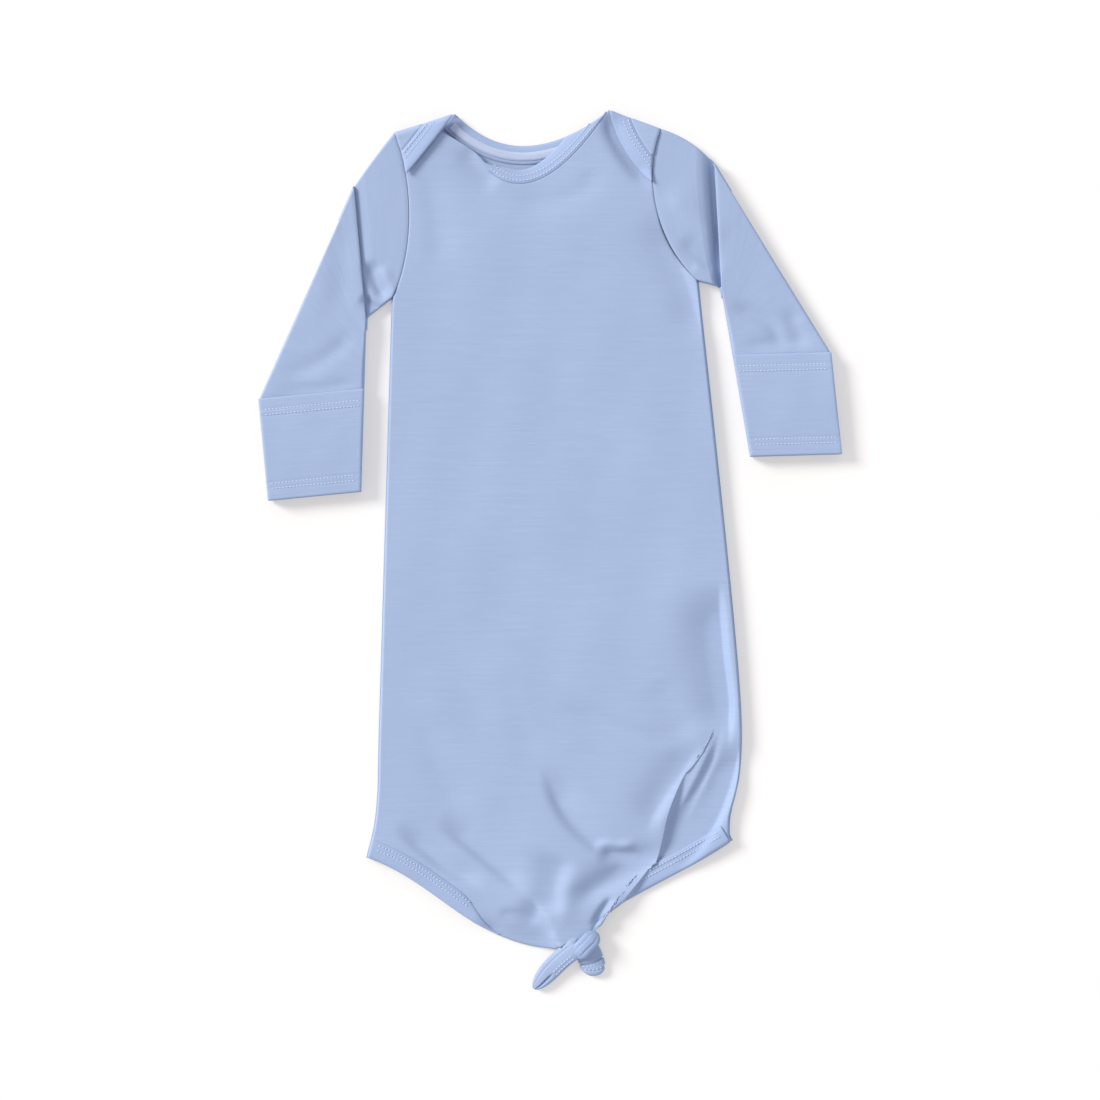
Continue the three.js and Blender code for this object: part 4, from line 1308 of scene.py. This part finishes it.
seam_neck = part_of(FRONT_NECK, 0.30, 0.90, 200)
stitches("front_neck_stitching_thread", pair(seam_neck, 2.2, 5.6), on_front_band, "gown",
         "front_neck_stitching")


def on_lap(xy):
    """Top of the lap's binding: the lap stands highest at its free edge."""
    free_gap = np.minimum(*(nearest(xy, side["lap"])[0] for side in SIDES_BOTH))
    return front_height(xy) + 1.65 + 2.4 * hill(free_gap, 8)


for side_name, side in NAMED_SIDES:
    outwards = side["out"]
    lap_line = part_of(side["lap"], 0.18, 0.86, 80)
    rows = []
    for distance in (NECK_BAND - 5.4, NECK_BAND - 2.2):
        row = lap_line + leftwards(lap_line) * outwards * distance
        to_shoulder, _, above = nearest(row, np.stack([side["tip"], side["shoulder"]]))
        to_armhole, _, beyond = nearest(row, side["armhole"])
        below = (to_shoulder > 1.6) & (above * outwards <= 0)
        rows.append(row[below & (to_armhole > 1.2) & (beyond * outwards < 0)])
    rows = [row for row in rows if len(row) > 3]
    print(side_name, "lap stitching rows:", [len(row) for row in rows])
    stitches(f"{side_name}_lap_stitching_thread", rows, on_lap, "gown", f"{side_name}_lap_stitching")

for side_name, side in NAMED_SIDES:
    inwards = -side["out"]
    start, end, turn = BAND_SHOWS[side_name]
    hem_line = part_of(side["hem"], start + 0.03, turn + 0.08, 160)
    rows = pair(hem_line, inwards * (HEM_BAND - 5.6), inwards * (HEM_BAND - 2.4))
    if side_name == "left":
        rows = [row[nearest(row + (-1.2, 0), TUCK_PATH)[2] > 0] for row in rows]
    stitches(
        f"{side_name}_hem_stitching_thread", rows,
        lambda xy: front_height(xy) + 1.1, "gown", f"{side_name}_hem_stitching",
    )
    for end_name, corner_name, toward in (("cuff", "cuff", 1), ("opening", "mitten", -1)):
        inner, outer = side[f"{corner_name}_inner"], side[f"{corner_name}_outer"]
        line = inner + (outer - inner) * np.linspace(0.05, 0.95, 40)[:, None]
        sign = side["out"] * toward
        stitches(
            f"{side_name}_mitten_{end_name}_thread", pair(line, sign * 8.0, sign * 11.6),
            lambda xy, side=side: flap_top(side, xy), f"{side_name}_mitten",
            f"{side_name}_mitten_{end_name}_stitching",
        )

# %% Stitching on the tails
def on_tail(line, half, high, rise):
    """Height of a tail's upper face: half an oval over its line."""
    def top(xy):
        far, share, _ = nearest(xy, line)
        at = share * (len(line) - 1)
        wide, tall, up = (np.interp(at, np.arange(len(line)), values) for values in (half, high, rise))
        return up + tall * np.clip(1 - (far / np.maximum(wide, 0.5)) ** 2.4, 0.02, 1) ** (1 / 2.4)
    return top


stitches("long_tail_thread", pair(part_of(long_line, 0.20, 0.60, 40), 2.4, 5.0),
         on_tail(long_line, LONG_HALF, LONG_HIGH, LONG_RISE), "long_end", "long_tail",
         bend_at=tail_bend("long"))
tail_rows = []
for at in (0.68, 0.80):
    index = int(at * (len(short_line) - 1))
    middle, way = at_share(short_line, at), leftwards(short_line)[index]
    reach_out = np.linspace(-0.82, 0.82, 30) * SHORT_HALF[index]
    along = np.array([way[1], -way[0]])
    tail_rows.append(middle + way * reach_out[:, None] - along * (0.03 * reach_out[:, None] ** 2))
stitches("short_tail_thread", tail_rows, on_tail(short_line, SHORT_HALF, SHORT_HIGH, SHORT_RISE),
         "short_end", "short_tail", bend_at=tail_bend("short"))

# %% [markdown]
# ## Floor, light and camera
#
# The gown is shown from straight above on a pale floor. A large soft light from the upper left gives
# the folds their shade and a soft shadow at the lower right, and an even sky fills the rest.

# %% Floor
def floor_material():
    """Matt near-white card with a very faint mottle, lit a little from below as a light table is."""
    material, tree, surface = start_material("pale floor", {
        "Roughness": 0.9, "Specular IOR Level": 0.1,
        "Emission Color": (1.0, 0.94, 0.85, 1), "Emission Strength": 0.37,
    })
    two_tones(tree, surface, "ShaderNodeTexNoise", {"Scale": 30.0},
              (0.535, 0.54, 0.56, 1), (0.545, 0.55, 0.57, 1))
    return material


FLOOR_HALF, FLOOR_TOP = 6.0, -0.0004
floor_mesh = bpy.data.meshes.new("floor")
corners = np.array([(-1, -1, 0), (1, -1, 0), (1, 1, 0), (-1, 1, 0)], float) * FLOOR_HALF
corners[:, 2] = FLOOR_TOP
floor_mesh.from_pydata(corners.tolist(), [], [(0, 1, 2, 3)])
floor = bpy.data.objects.new("floor", floor_mesh)
floor.data.materials.append(floor_material())
bpy.context.scene.collection.objects.link(floor)

# %% Light and camera
world = bpy.data.worlds.new("studio")
world.use_nodes = True
world.node_tree.nodes["Background"].inputs["Color"].default_value = (0.665, 0.675, 0.72, 1)
world.node_tree.nodes["Background"].inputs["Strength"].default_value = 1.0
bpy.context.scene.world = world

key = bpy.data.lights.new("key", "SUN")
key.energy = 3.35
key.angle = np.radians(22)
key.color = (1.0, 0.965, 0.89)
key_object = bpy.data.objects.new("key", key)
bpy.context.scene.collection.objects.link(key_object)
key_object.rotation_euler = Vector((1.12, -0.60, -0.80)).to_track_quat("-Z", "Y").to_euler()

VIEW_WIDTH = 0.7568
LENS = 90.0
camera_data = bpy.data.cameras.new("camera")
camera_data.lens = LENS
camera = bpy.data.objects.new("camera", camera_data)
camera.location = (-0.0009, 0.0, VIEW_WIDTH * LENS / camera_data.sensor_width + 0.009)
bpy.context.scene.collection.objects.link(camera)
bpy.context.scene.camera = camera
bpy.context.scene.view_settings.view_transform = "Standard"
